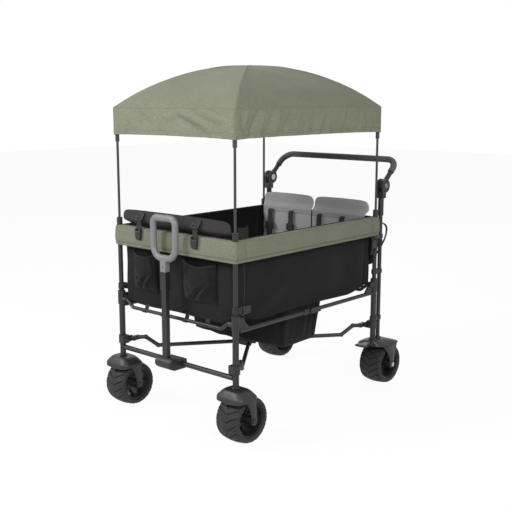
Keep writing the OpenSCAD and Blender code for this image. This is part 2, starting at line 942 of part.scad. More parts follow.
// Clamps that tie each upright to its post, around the leg at the lowest and the post above
module upright_clamps() {
    color("black") placed() both() for (i = [0 : len(clamp_zs) - 1]) {
        d = i == 0 ? leg_d : post_d;
        half = d / 2 + clamp_wall;
        translate([0, by, clamp_zs[i]]) difference() {
            union() {
                translate([-ax, 0, 0]) cylinder(h = clamp_h, r = half);
                translate([-ax - upright_back, 0, 0]) cylinder(h = clamp_h, d = upright_d + 2 * clamp_wall);
                block([-ax - upright_back, -upright_d / 2, 0], [-ax, upright_d / 2, clamp_h]);
            }
            translate([-ax, 0, -over]) cylinder(h = clamp_h + 2 * over, d = d + 2 * fit_gap);
            translate([-ax - upright_back, 0, -over])
                cylinder(h = clamp_h + 2 * over, d = upright_d + 2 * fit_gap);
        }
    }
}

// Fork-shaped socket on an upright: two round cheeks above a boot, drawn at y = 0
module hinge_socket() {
    in_y = disc_t / 2 + run_gap;
    floor_z = hinge_z - disc_d / 2 - boot_gap;
    boot_top = floor_z - boot_w;
    up_x = hinge_back - upright_back;
    difference() {
        union() {
            cross_pin(0, hinge_z, -in_y - hinge_cheek_t, -in_y, hinge_d);
            cross_pin(0, hinge_z, in_y, in_y + hinge_outer_t, hinge_d);
            block([up_x - boot_w / 2, -in_y - hinge_cheek_t, boot_top], [up_x + boot_w / 2, -in_y, hinge_z]);
            block([up_x - boot_w / 2, in_y, boot_top], [up_x + boot_w / 2, in_y + hinge_outer_t, hinge_z]);
            block([up_x - boot_w / 2, -in_y, boot_top], [up_x + boot_w / 2, in_y, floor_z]);
            translate([up_x, 0, boot_top - boot_h]) cylinder(h = boot_h, d = boot_d);
        }
        translate([up_x, 0, boot_top - boot_h - over])
            cylinder(h = boot_h + over + fit_gap, d = upright_d + 2 * fit_gap);
        cross_pin(0, hinge_z, -hinge_d, hinge_d, hinge_pin_d + 2 * fit_gap);
        cross_pin(0, hinge_z, in_y + hinge_outer_t - recess_deep, hinge_d, button_d + 2 * run_gap);
    }
}

module hinge_sockets() {
    color("black") placed() both() translate([-ax - hinge_back, by, 0]) hinge_socket();
}

module hinge_pins() {
    in_y = disc_t / 2 + run_gap;
    inner = -in_y - hinge_cheek_t;
    color("gray") placed() both() translate([-ax - hinge_back, by, 0]) {
        cross_pin(0, hinge_z, inner - hinge_ring_t, in_y + hinge_outer_t - recess_deep, hinge_pin_d);
        cross_pin(0, hinge_z, inner - hinge_ring_t, inner - fit_gap, hinge_ring_d);
    }
}

module hinge_button(s) {
    top = disc_t / 2 + run_gap + hinge_outer_t + button_out;
    color("gray") placed() mirror_y(s) translate([-ax - hinge_back, by, 0])
        cross_pin(0, hinge_z, top - button_h, top, button_d);
}
module hinge_button_left() { hinge_button(1); }
module hinge_button_right() { hinge_button(-1); }

// U-shaped bar in its own plane: arms along +X at y = +-by, cross bar at the arms' end
module push_path(start, d) {
    turn_x = arm_len - push_bend_r;
    both() {
        translate([start, by, 0]) rotate([0, 90, 0]) cylinder(h = turn_x - start, d = d);
        translate([turn_x, by - push_bend_r, 0]) rotate_extrude(angle = 90) translate([push_bend_r, 0]) circle(d = d);
    }
    translate([arm_len, -by + push_bend_r, 0]) rotate([-90, 0, 0]) cylinder(h = 2 * (by - push_bend_r), d = d);
}

module in_arm_plane() {
    placed() translate([-ax - hinge_back, 0, hinge_z]) rotate([0, arm_rise - 180, 0]) children();
}

module push_bar() {
    color("black") in_arm_plane() {
        push_path(arm_tube_r, push_d);
        both() difference() {
            union() {
                cross_pin(0, 0, by - disc_t / 2, by + disc_t / 2, disc_d);
                block([0, by - disc_t / 2, -neck_w / 2], [arm_tube_r + disc_t / 2, by + disc_t / 2, neck_w / 2]);
            }
            cross_pin(0, 0, by - disc_t, by + disc_t, hinge_pin_d + 2 * fit_gap);
        }
    }
}

module push_grip() {
    color("slategray") in_arm_plane() difference() {
        push_path(foam_start, foam_d);
        push_path(foam_start - over, push_d + 2 * fit_gap);
    }
}

// Pull handle

module pull_bracket() {
    px0 = ax + pull_ahead;
    half = crossbar_d / 2 + clamp_block;
    ear_y = barrel_w / 2 + run_gap;
    color("black") placed() difference() {
        union() {
            block([ax - half, -ear_y - pull_ear_t, crossbar_z - half],
                [ax + half, ear_y + pull_ear_t, crossbar_z + half]);
            both() {
                cross_pin(px0, pull_z, ear_y, ear_y + pull_ear_t, ear_d);
                block([ax, ear_y, crossbar_z - half], [px0, ear_y + pull_ear_t, crossbar_z + half]);
            }
            cross_pin(px0, pull_z, -ear_y - pull_ear_t, ear_y + pull_ear_t, pull_pin_d);
        }
        cross_pin(ax, crossbar_z, -barrel_w, barrel_w, crossbar_d + 2 * fit_gap);
    }
}

// Upright rectangular tube, centred on Z
module box_tube(w, t, z0, z1, wall) {
    difference() {
        block([-t / 2, -w / 2, z0], [t / 2, w / 2, z1]);
        block([-t / 2 + wall, -w / 2 + wall, z0 - over], [t / 2 - wall, w / 2 - wall, z1 + over]);
    }
}

module pull_tube() {
    grown = 2 * collar_wall;
    color("dimgray") placed() translate([ax + pull_ahead, 0, 0]) difference() {
        union() {
            box_tube(pull_w, pull_t, pull_z, tube_top_z + over, pull_wall);
            box_tube(pull_w + grown, pull_t + grown, tube_top_z, collar_z, pull_wall + collar_wall);
            cross_pin(0, pull_z, -barrel_w / 2, barrel_w / 2, barrel_d);
        }
        cross_pin(0, pull_z, -barrel_w, barrel_w, pull_pin_d + 2 * fit_gap);
    }
}

// Ring grip: a round loop, rounder at its foot, on a flared neck with a snap hole, and the sliding inner bar
module pull_grip() {
    slide = 2 * run_gap;
    neck_t = pull_t + 2 * collar_wall;
    side_y = ring_w / 2 - ring_rim / 2;
    top_z = pull_top_z - ring_rim / 2;
    low_z = ring_bottom_z + ring_rim / 2;
    mid_z = (top_z + low_z) / 2;
    snap_z = (collar_z + ring_bottom_z) / 2;
    color("gray") placed() translate([ax + pull_ahead, 0, 0]) {
        block([-pull_t / 2 + pull_wall + run_gap, -pull_w / 2 + pull_wall + run_gap, collar_z - inner_l],
            [pull_t / 2 - pull_wall - run_gap, pull_w / 2 - pull_wall - run_gap, collar_z + ring_neck_w / 2]);
        bent_bar([[0, side_y, mid_z], [0, side_y, top_z], [0, -side_y, top_z], [0, -side_y, mid_z]],
            ring_rim, ring_top_r);
        bent_bar([[0, side_y, mid_z], [0, side_y, low_z], [0, -side_y, low_z], [0, -side_y, mid_z]],
            ring_rim, ring_low_r);
        difference() {
            translate([-neck_t / 2, 0, 0]) rotate([90, 0, 90]) linear_extrude(height = neck_t) polygon([
                [-ring_neck_w / 2, collar_z + slide], [ring_neck_w / 2, collar_z + slide],
                [ring_neck_w / 2, low_z - ring_flare_h], [ring_flare_w / 2, low_z],
                [-ring_flare_w / 2, low_z], [-ring_neck_w / 2, low_z - ring_flare_h]
            ]);
            translate([0, 0, snap_z]) rotate([0, 90, 0]) cylinder(h = neck_t, d = snap_d);
        }
    }
}

// Tub and rim

// Part of the rim ring: a band with a roll along its top
module rim_ring() {
    hx = ax + rim_out;
    hy = by + rim_out;
    difference() {
        union() {
            translate([0, 0, rim_top_z - rim_h]) linear_extrude(height = rim_h)
                ring_2d(hx, hy, rim_corner_r, rim_skin);
            translate([0, 0, rim_top_z - rim_roll_t]) linear_extrude(height = rim_roll_t) difference() {
                round_rect(hx, hy, rim_corner_r);
                square([2 * (ax - rim_in), 2 * (by - rim_in)], center = true);
            }
        }
        for (sx = [-1, 1], sy = [-1, 1]) translate([sx * ax, sy * by, rim_top_z - rim_h])
            cylinder(h = rim_h + over, d = post_d + 2 * fit_gap);
    }
}

module rim_end(s) {
    end_x = ax - rim_return;
    color("darkseagreen") placed() mirror_x(s) intersection() {
        rim_ring();
        block([end_x, -by - 2 * rim_out, 0], [ax + 2 * rim_out, by + 2 * rim_out, rim_top_z + over]);
    }
}
module rim_front() { rim_end(1); }
module rim_rear() { rim_end(-1); }

module rim_sides() {
    end_x = ax - rim_return - run_gap;
    y0 = by - rim_in;
    y1 = by + rim_out;
    color("darkseagreen") placed() both() {
        block([-end_x, y1 - rim_skin, rim_top_z - rim_h], [end_x, y1, rim_top_z]);
        block([-end_x, y0, rim_top_z - rim_roll_t], [end_x, y1, rim_top_z]);
    }
}

module tub_end(s) {
    end_x = tub_ix - tub_return;
    top = rim_top_z - tub_top_drop;
    color([0.1, 0.1, 0.1]) placed() mirror_x(s) difference() {
        intersection() {
            translate([0, 0, tub_bottom_z]) linear_extrude(height = top - tub_bottom_z)
                ring_2d(tub_ix, tub_iy, tub_corner_r, panel_t);
            block([end_x, -by, 0], [ax, by, rim_top_z]);
        }
        for (k = [-1, 1]) mirror_y(k)
            translate([ax + over, 0, 0]) rotate([90, 0, -90]) linear_extrude(height = ax) polygon([
                [-tub_iy - over, tub_bottom_z - over], [-tub_iy + corner_cut_w, tub_bottom_z - over],
                [-tub_iy - over, tub_bottom_z + corner_cut_h]
            ]);
    }
}
module tub_front_panel() { tub_end(1); }
module tub_rear_panel() { tub_end(-1); }

module tub_side_panels() {
    end_x = tub_ix - tub_return - run_gap;
    color([0.1, 0.1, 0.1]) placed() both()
        block([-end_x, tub_iy - panel_t, tub_bottom_z], [end_x, tub_iy, rim_top_z - tub_top_drop]);
}

// Height of the floor: level benches with a sagging well between them
function smooth(t) = let (c = min(1, max(0, t))) c * c * (3 - 2 * c);
function well_share(x, y) =
    smooth((x + well_rear_x) / well_wall) * smooth((well_front_x - x) / well_wall)
    * smooth((well_half_y - abs(y)) / well_wall);
function floor_z(x, y) = bench_z - (well_depth + well_sag * (cos(180 * y / well_half_y) - 1) / 2) * well_share(x, y);
function wall_steps(a, b, n) = [for (i = [0 : n]) a + (b - a) * i / n];
floor_hx = tub_ix - panel_t - floor_gap;
floor_hy = tub_iy - panel_t - floor_gap;
floor_corner = tub_corner_r;
floor_xs = concat(
    wall_steps(-floor_hx, -well_rear_x, floor_nx / 4 - 1),
    wall_steps(-well_rear_x + well_wall / 4, -well_rear_x + well_wall, 3),
    wall_steps(-well_rear_x + 2 * well_wall, well_front_x - 2 * well_wall, floor_nx / 4 - 2),
    wall_steps(well_front_x - well_wall, well_front_x - well_wall / 4, 3),
    wall_steps(well_front_x, floor_hx, floor_nx / 4 - 1)
);
floor_half_ys = concat(
    wall_steps(0, well_half_y - 2 * well_wall, floor_ny / 6),
    wall_steps(well_half_y - well_wall, well_half_y, 4),
    [floor_hy]
);
floor_ys = concat([for (i = [len(floor_half_ys) - 1 : -1 : 1]) -floor_half_ys[i]], floor_half_ys);
function floor_edge(x) =
    let (d = max(0, abs(x) - floor_hx + floor_corner))
    1 - (floor_corner - sqrt(max(0, floor_corner * floor_corner - d * d))) / floor_hy;

module tub_floor() {
    nu = len(floor_xs) - 1;
    nv = len(floor_ys) - 1;
    top = [for (x = floor_xs, y = floor_ys) [x, y * floor_edge(x), floor_z(x, y)]];
    bottom = [for (p = top) p - [0, 0, floor_t]];
    color([0.08, 0.08, 0.08]) placed() two_sided(top, bottom, nu, nv);
}

// Seats

// Upholstered pad in its own U and V plane: half sizes, thickness, corner radius and cross channels
function pad_edge(t) = sqrt(max(0, 1 - pow(abs(t), 6)));
function pad_channel(v, seams) = len(seams) == 0 ? 0
    : max([for (s = seams) exp(-pow((v - s) / seam_w_share, 2))]);
function pad_depth(u, v, t, seams) =
    t / 2 * (edge_share + (1 - edge_share) * pad_edge(u) * pad_edge(v)) - seam_depth * pad_channel(v, seams) / 2;
// Corners drawn in to a radius: how far a place lies past the core, and where it comes to lie
function past_core(p, half, r) = max(0, abs(p) - half + r);
function drawn_in(p, half, q, other, r) = sign(p) * (min(abs(p), half - r) + q * sqrt(1 - other * other / r / r / 2));
function pad_points(hu, hv, t, r, seams, nu, nv, side, shifts) = [
    for (i = [0 : nu], j = [0 : nv])
        let (
            u = -cos(180 * i / nu),
            v = -cos(180 * j / nv),
            qu = past_core(hu * u, hu, r),
            qv = past_core(hv * v, hv, r)
        )
        [
            drawn_in(hu * u, hu, qu, qv, r), drawn_in(hv * v, hv, qv, qu, r),
            side * pad_depth(u, v, t, seams) + shifts[j]
        ]
];
module pad(hu, hv, t, r, seams, nu, nv, shifts) {
    two_sided(pad_points(hu, hv, t, r, seams, nu, nv, 1, shifts), pad_points(hu, hv, t, r, seams, nu, nv, -1, shifts),
        nu, nv);
}
function level(nv) = [for (j = [0 : nv]) 0];

seat_z0 = bench_z + seat_pad_t + seat_gap;
seat_back_half_h = (seat_back_z - seat_z0) / 2;
seat_back_x = tub_ix - panel_t - seat_gap - seat_back_t / 2;
// The front seat back leans out over the rim, by so much above it
seat_lean = ax + rim_out - seat_back_x - seat_back_t / 2 - 2 * seat_gap;
function lean_at(v) = seat_lean * smooth((seat_z0 + seat_back_half_h * (1 + v) - rim_top_z - seat_gap) / lean_h);
function leaning(nv) = [for (j = [0 : nv]) lean_at(-cos(180 * j / nv))];

module at_seat_back(s) {
    placed() mirror_x(s) translate([seat_back_x, 0, seat_z0 + seat_back_half_h])
        rotate([90, 0, 90]) children();
}

module rear_seat_back() {
    half = (seat_half_y - seat_notch / 4) / 2;
    seams = [for (s = seam_shares) 2 * s - 1];
    color("lightgray") at_seat_back(-1) for (s = [-1, 1])
        translate([s * (half + seat_notch / 4), 0, 0])
            pad(half, seat_back_half_h, seat_back_t, seat_back_corner_r, seams, 12, 14, level(14));
}

module front_seat_back() {
    seams = [for (s = seam_shares) 2 * s - 1];
    color("dimgray") at_seat_back(1)
        pad(seat_half_y, seat_back_half_h, seat_back_t, seat_back_corner_r, seams, 18, 14, leaning(14));
}

module seat_pads() {
    end_x = seat_back_x + seat_back_t / 2 - seat_gap;
    color("dimgray") placed() for (s = [-1, 1]) mirror_x(s)
        translate([end_x - seat_pad_l / 2, 0, bench_z + seat_gap / 2 + seat_pad_t / 2])
            pad(seat_pad_l / 2, pad_half_y, seat_pad_t, seat_back_corner_r, [], 10, 12, level(12));
}

module rear_harness() {
    face = seat_back_x - seat_back_t / 2 - seat_gap;
    top = seat_z0 + 2 * seat_back_half_h * harness_top_share;
    color("black") placed() mirror_x(-1) for (share = harness_y_shares) translate([0, share * seat_half_y, 0]) {
        block([face - strap_t, -strap_w / 2, top - harness_h], [face, strap_w / 2, top]);
        block([face - slider_t, -slider_w / 2, top - harness_h / 2 - slider_h / 2],
            [face, slider_w / 2, top - harness_h / 2 + slider_h / 2]);
    }
}

// Straps from the front seat back, down over the rim's outer face, each with a slider and a buckle
module front_seat_straps() {
    out_x = ax + rim_out + run_gap;
    low = rim_top_z - front_strap_drop;
    top = seat_back_z - slider_h;
    color("black") placed() for (share = front_strap_y_shares) translate([0, share * by, 0]) {
        block([out_x, -strap_w / 2, low], [out_x + strap_t, strap_w / 2, top]);
        block([out_x, -slider_w / 2, top - 2 * slider_h], [out_x + slider_t, slider_w / 2, top - slider_h]);
        block([out_x, -buckle_w / 2, low - buckle_h / 2], [out_x + buckle_t, buckle_w / 2, low + buckle_h / 2]);
    }
}

// Organiser bag that hangs behind the rear panel from two loops around the uprights
module rear_bag() {
    x1 = -ax - upright_back - upright_d / 2 - clamp_wall - run_gap;
    x0 = x1 - bag_depth;
    y1 = bag_half_y;
    loop_z = clamp_zs[2] - bag_loop_w - over;
    loop_d = upright_d + 2 * clamp_wall;
    color([0.1, 0.1, 0.1]) placed() {
        difference() {
            block([x0, -y1, bag_z0], [x1, y1, bag_z0 + bag_h]);
            block([x0 + bag_t, -y1 + bag_t, bag_z0 + bag_t], [x1 - bag_t, y1 - bag_t, bag_z0 + bag_h + over]);
        }
        both() difference() {
            union() {
                translate([-ax - upright_back, by, loop_z]) cylinder(h = bag_loop_w, d = loop_d);
                block([x1 - bag_t, y1 - bag_t, loop_z], [x1, by, loop_z + bag_loop_w]);
                block([x1 - bag_t, by - loop_d / 2, loop_z], [-ax - upright_back, by, loop_z + bag_loop_w]);
            }
            translate([-ax - upright_back, by, loop_z - over])
                cylinder(h = bag_loop_w + 2 * over, d = upright_d + 2 * fit_gap);
        }
    }
}

// Canopy

roof_hx = ax + canopy_out;
roof_hy = by + canopy_out;
dome_h = peak_z - roof_edge_z;
diagonal = norm([roof_hx, roof_hy]) - canopy_corner_r * (sqrt(2) - 1);
dome_r = (diagonal * diagonal + dome_h * dome_h) / (2 * dome_h);
// Rise of the dome above the roof's edge at a share m of the way from the peak to the edge
function dome_rise(m) = sqrt(dome_r * dome_r - pow(m * diagonal, 2)) - dome_r + dome_h;

// Place along one side of the plan outline, from corner to corner, t from -1 to 1
function spread(t) = sin(90 * t);
function side_point(k, t) =
    let (
        hx = roof_hx,
        hy = roof_hy,
        s = spread(t)
    )
    k == 0 ? [hx, hy * s] : k == 1 ? [-hx * s, hy] : k == 2 ? [-hx, -hy * s] : [hx * s, -hy];
function outward(k) = k == 0 ? [1, 0] : k == 1 ? [0, 1] : k == 2 ? [-1, 0] : [0, -1];
// Corners drawn in to a radius
function rounded(p) =
    let (
        c = [roof_hx - canopy_corner_r, roof_hy - canopy_corner_r],
        q = [max(0, abs(p[0]) - c[0]), max(0, abs(p[1]) - c[1])],
        n = norm(q)
    )
    n > canopy_corner_r
        ? [sign(p[0]) * (c[0] + q[0] * canopy_corner_r / n), sign(p[1]) * (c[1] + q[1] * canopy_corner_r / n)]
        : p;
function fold_wave(k, t) = fold_amp * (1 - t * t) * sin(180 * (k % 2 == 0 ? folds_short : folds_long) * t);
function skirt_point(k, t, d, inset) =
    let (
        p = rounded(side_point(k, t)),
        low = roof_edge_z - d * (skirt_h - skirt_arc * (1 - t * t)),
        out = d * (skirt_flare + fold_wave(k, t)) - inset,
        o = outward(k) * (abs(t) < 1 ? 1 : 0.5) + (abs(t) < 1 ? [0, 0] : outward((k + 3) % 4) * 0.5)
    )
    [p[0] + o[0] * out, p[1] + o[1] * out, low];
function roof_point(k, t, m, drop) =
    let (
        p = rounded(side_point(k, t)) * m,
        sag = roof_sag_share * dome_h * pow(1 - t * t, 2) * sin(180 * m)
    )
    [p[0], p[1], roof_edge_z + dome_rise(m) - sag - drop];
function cover_ring(row, inner) = [
    for (k = [0 : 3], i = [0 : cover_sides - 1])
        let (t = -1 + 2 * i / cover_sides)
        row < skirt_rings
            ? skirt_point(k, t, 1 - row / skirt_rings, inner ? cover_t : 0)
            : let (m = 1 - (row - skirt_rings) / cover_rings)
                inner
                    ? roof_point(k, t, m, cover_t) - (row == skirt_rings
                        ? [outward(k)[0] * cover_t, outward(k)[1] * cover_t, 0] : [0, 0, 0])
                    : roof_point(k, t, m, 0)
];

module canopy_cover() {
    n = 4 * cover_sides;
    rows = skirt_rings + cover_rings - 1;
    outer = [for (r = [0 : rows]) each cover_ring(r, false)];
    inner = [for (r = [0 : rows]) each cover_ring(r, true)];
    base = len(outer);
    peaks = [[0, 0, peak_z], [0, 0, peak_z - cover_t]];
    tip = 2 * base;
    function quad(r, i, o, flip) =
        let (
            a = o + r * n + i,
            b = o + r * n + (i + 1) % n,
            f = [[a, a + n, b + n], [a, b + n, b]]
        )
        [for (t = f) flip ? [t[2], t[1], t[0]] : t];
    faces = [
        for (r = [0 : rows - 1], i = [0 : n - 1]) each quad(r, i, 0, false),
        for (r = [0 : rows - 1], i = [0 : n - 1]) each quad(r, i, base, true),
        for (i = [0 : n - 1]) [rows * n + i, tip, rows * n + (i + 1) % n],
        for (i = [0 : n - 1]) [base + rows * n + (i + 1) % n, tip + 1, base + rows * n + i],
        for (i = [0 : n - 1]) each [[i, (i + 1) % n, base + (i + 1) % n], [i, base + (i + 1) % n, base + i]]
    ];
    color("darkseagreen") placed() polyhedron(points = concat(outer, inner, peaks), faces = faces);
}

// Ribs that arch from corner to corner over a small hub
pole_top_z = roof_edge_z - rib_top_drop - rib_d;
module canopy_ribs() {
    run = norm([ax, by]);
    r = dome_r - cover_t - cover_gap - rib_gap - rib_d / 2;
    sweep = asin(run / r);
    start = asin((crown_hub_d - rib_d) / 2 / r);
    centre_z = peak_z - dome_r;
    foot_z = centre_z + r * cos(sweep);
    hub_top = peak_z - cover_t - cover_gap - rib_gap;
    lean = atan2(by, ax);
    color("gray") placed() {
        for (a = [lean, 180 - lean, 180 + lean, -lean]) rotate([0, 0, a]) {
            translate([0, 0, centre_z]) rotate([90, 0, 0]) rotate([0, 0, 90 - sweep])
                rotate_extrude(angle = sweep - start) translate([r, 0]) circle(d = rib_d);
            translate([run, 0, pole_top_z + run_gap]) cylinder(h = foot_z - pole_top_z - run_gap, d = rib_d);
            translate([run, 0, foot_z - rib_ball_drop]) sphere(d = rib_ball_d);
        }
        translate([0, 0, hub_top - crown_hub_t]) cylinder(h = crown_hub_t, d = crown_hub_d);
    }
}

module pole_pair(x) {
    both() translate([x, by, 0]) {
        translate([0, 0, rim_top_z - pole_in]) cylinder(h = pole_top_z - rim_top_z + pole_in, d = pole_d);
        tube(socket_d, roof_edge_z - skirt_h - socket_h / 2, pole_top_z, (socket_d - pole_d) / 2 - fit_gap);
    }
}
module front_poles() { color("gray") placed() pole_pair(ax); }
module rear_poles() { color("gray") placed() pole_pair(-ax); }

rear_posts();
rear_sleeves();
rear_brackets();
rear_floor_bar();
push_uprights();
upright_clamps();
hinge_sockets();
hinge_pins();
hinge_button_left();
hinge_button_right();
push_bar();
push_grip();
rear_forks();
rear_axles();
rear_tyre_left();
rear_rim_left();
rear_tyre_right();
rear_rim_right();
brake_pedal_left();
brake_pedal_right();
base_rear_brace();
base_front_brace();
side_rail_left_rear();
side_rail_left_front();
side_rail_right_rear();
side_rail_right_front();
front_posts();
front_sleeves();
front_brackets();
front_crossbar();
front_floor_bar();
caster_fork_left();
caster_fork_right();
front_tyre_left();
front_rim_left();
front_tyre_right();
front_rim_right();
pull_bracket();
pull_tube();
pull_grip();
tub_front_panel();
tub_rear_panel();
tub_side_panels();
tub_floor();
rim_front();
rim_rear();
rim_sides();
front_seat_back();
rear_seat_back();
seat_pads();
rear_harness();
front_seat_straps();
rear_bag();
front_poles();
rear_poles();
canopy_ribs();
canopy_cover();
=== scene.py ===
import json
import math

import bmesh
import bpy
import numpy as np
from mathutils import Matrix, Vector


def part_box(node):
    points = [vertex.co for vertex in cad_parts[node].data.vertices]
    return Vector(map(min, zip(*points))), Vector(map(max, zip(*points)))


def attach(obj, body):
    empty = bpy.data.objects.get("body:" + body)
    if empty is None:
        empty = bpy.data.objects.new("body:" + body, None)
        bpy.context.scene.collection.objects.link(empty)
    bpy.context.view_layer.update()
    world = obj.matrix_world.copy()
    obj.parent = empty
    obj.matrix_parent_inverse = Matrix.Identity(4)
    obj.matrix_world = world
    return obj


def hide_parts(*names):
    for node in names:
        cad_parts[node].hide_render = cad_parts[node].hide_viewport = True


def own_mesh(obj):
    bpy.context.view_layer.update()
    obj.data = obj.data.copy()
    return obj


bl_info = {
    "name": "Stroller wagon dressing", "version": (1, 0, 0), "blender": (4, 5, 0),
    "location": "View3D > Sidebar > Wagon",
    "description": "Fabric, padding, straps, tyres and finishes for the packed stroller wagon",
    "category": "Object",
}

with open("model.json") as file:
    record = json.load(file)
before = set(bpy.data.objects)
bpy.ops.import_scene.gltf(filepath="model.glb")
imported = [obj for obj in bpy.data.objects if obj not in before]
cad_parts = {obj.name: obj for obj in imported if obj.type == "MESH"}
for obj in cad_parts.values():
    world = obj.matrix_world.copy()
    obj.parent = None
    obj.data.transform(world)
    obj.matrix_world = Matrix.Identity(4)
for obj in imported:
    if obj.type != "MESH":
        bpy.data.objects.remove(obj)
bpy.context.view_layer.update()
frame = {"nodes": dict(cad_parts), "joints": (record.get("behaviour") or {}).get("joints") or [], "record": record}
JOINTS = {joint["name"]: joint for joint in frame["joints"]}


def span(node):
    """Lowest and highest corner of a CAD node as arrays."""
    low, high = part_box(node)
    return np.array(low), np.array(high)


UP = np.array([0, 0, 1.0])
TINY, SMALL = 1e-12, 1e-9
LEG_R = 0.011
POST_R = 0.0085
FRONT_X = float(sum(corner[0] for corner in span("front_posts")) / 2)
REAR_X = float(sum(corner[0] for corner in span("rear_posts")) / 2)
MID_X = (FRONT_X + REAR_X) / 2
POST_Y = float(span("front_posts")[1][1]) - LEG_R
RIM_LOW, RIM_TOP = float(span("rim_front")[0][2]), float(span("rim_front")[1][2])
TUB_X = float(span("tub_front_panel")[1][0])
TUB_Y = float(span("tub_front_panel")[1][1])
TUB_LOW, TUB_TOP = float(span("tub_side_panels")[0][2]), float(span("tub_side_panels")[1][2])
SIDE_X0, SIDE_X1 = float(span("tub_side_panels")[0][0]), float(span("tub_side_panels")[1][0])
BENCH = float(span("tub_floor")[1][2])
UPRIGHT_X = float(sum(corner[0] for corner in span("push_uprights")) / 2)


# Surfaces


def unit(vectors):
    """Vectors scaled to length one."""
    return vectors / np.maximum(np.linalg.norm(vectors, axis=-1, keepdims=True), TINY)


def ease(value):
    """Smooth step from 0 to 1."""
    share = np.clip(value, 0, 1)
    return share * share * (3 - 2 * share)


def signed_power(value, power):
    """Power of a number's size, with its sign kept."""
    return np.sign(value) * np.abs(value) ** power


def surface(points, wrap=(False, False), ends=False, flip=False):
    """Grid of points (rows, columns, 3) as vertices, faces and flat lengths in metres.

    A wrapped direction joins its last line to its first, and ends closes the first and last rows.
    """
    points = np.asarray(points, float)
    rows, cols = points.shape[:2]
    index, full = np.arange(rows * cols).reshape(rows, cols), points
    if wrap[0]:
        index, full = np.concatenate([index, index[:1]]), np.concatenate([full, full[:1]])
    if wrap[1]:
        index = np.concatenate([index, index[:, :1]], 1)
        full = np.concatenate([full, full[:, :1]], 1)
    along = np.linalg.norm(np.diff(full, axis=1), axis=2).mean(0)
    up = np.linalg.norm(np.diff(full, axis=0), axis=2).mean(1)
    flat = np.stack(np.meshgrid(np.append(0, np.cumsum(along)), np.append(0, np.cumsum(up))), -1)
    lower, upper = slice(None, -1), slice(1, None)
    corners = [(lower, lower), (lower, upper), (upper, upper), (upper, lower)]
    corners = corners[::-1] if flip else corners
    faces = np.stack([index[c] for c in corners], -1).reshape(-1, 4).tolist()
    loops = np.stack([flat[c] for c in corners], -2).reshape(-1, 2)
    if ends:
        caps = [index[0, :cols][::-1], index[-1, :cols]]
        faces += [(cap[::-1] if flip else cap).tolist() for cap in caps]
        loops = np.concatenate([loops, np.zeros((2 * cols, 2))])
    return points.reshape(-1, 3), faces, loops


def face_outward(mesh):
    """Turns the faces of a closed mesh outwards."""
    shell = bmesh.new()
    shell.from_mesh(mesh)
    bmesh.ops.recalc_face_normals(shell, faces=shell.faces)
    shell.to_mesh(mesh)
    shell.free()


def make(name, parts, finish, outward=False):
    """One mesh object from several surfaces, with their flat lengths as its UV map."""
    points, faces, loops, base = [], [], [], 0
    for part_points, part_faces, part_loops in parts:
        points.append(part_points)
        faces += [[i + base for i in face] for face in part_faces]
        loops.append(part_loops)
        base += len(part_points)
    mesh = bpy.data.meshes.new(name)
    mesh.from_pydata(np.concatenate(points).tolist(), [], faces)
    mesh.uv_layers.new(name="Flat").data.foreach_set("uv", np.concatenate(loops).astype(np.float32).ravel())
    mesh.polygons.foreach_set("use_smooth", np.full(len(mesh.polygons), True))
    mesh.materials.append(finish)
    if outward:
        face_outward(mesh)
    mesh.update()
    obj = bpy.data.objects.new(name, mesh)
    bpy.context.scene.collection.objects.link(obj)
    return obj


def thicken(obj, thickness, offset=-1.0):
    """Gives a sheet its thickness."""
    solid = obj.modifiers.new("thickness", "SOLIDIFY")
    solid.thickness, solid.offset = thickness, offset
    return obj


def soften(obj, levels=1):
    """Rounds a mesh by subdivision, alike in view and render."""
    rounding = obj.modifiers.new("soft", "SUBSURF")
    rounding.levels = rounding.render_levels = levels
    return obj


def sweep(path, profile, across, closed=False):
    """Closed profile carried along a path: one number runs across, the other square to that and the path."""
    path = np.asarray(path, float)
    step = np.roll(path, -1, 0) - np.roll(path, 1, 0) if closed else np.gradient(path, axis=0)
    tangent = unit(step)
    across = np.broadcast_to(np.asarray(across, float), path.shape)
    across = unit(across - (across * tangent).sum(1, keepdims=True) * tangent)
    out = np.cross(tangent, across)
    return path[:, None] + profile[None, :, :1] * across[:, None] + profile[None, :, 1:] * out[:, None]


def round_profile(radius, sides=12):
    """Circle of points."""
    angle = np.linspace(0, 2 * np.pi, sides, endpoint=False)
    return radius * np.stack([np.cos(angle), np.sin(angle)], 1)


def flat_profile(width, thickness, sides=16, square=0.3, edge=0.5):
    """Flat strap section: a superellipse, square across and rounded at its edges."""
    angle = np.linspace(0, 2 * np.pi, sides, endpoint=False) + np.pi / sides
    c, s = np.cos(angle), np.sin(angle)
    x, y = signed_power(c, square), signed_power(s, edge)
    return np.stack([width / 2 * x, thickness / 2 * y], 1)


def strap(path, width, thickness, across):
    """Flat webbing along a path."""
    return surface(sweep(path, flat_profile(width, thickness), across), (False, True), True)


def tube(path, radius, across, closed=False, sides=12):
    """Round bar or piping along a path."""
    points = sweep(path, round_profile(radius, sides), across, closed)
    return surface(points, (closed, True), not closed)


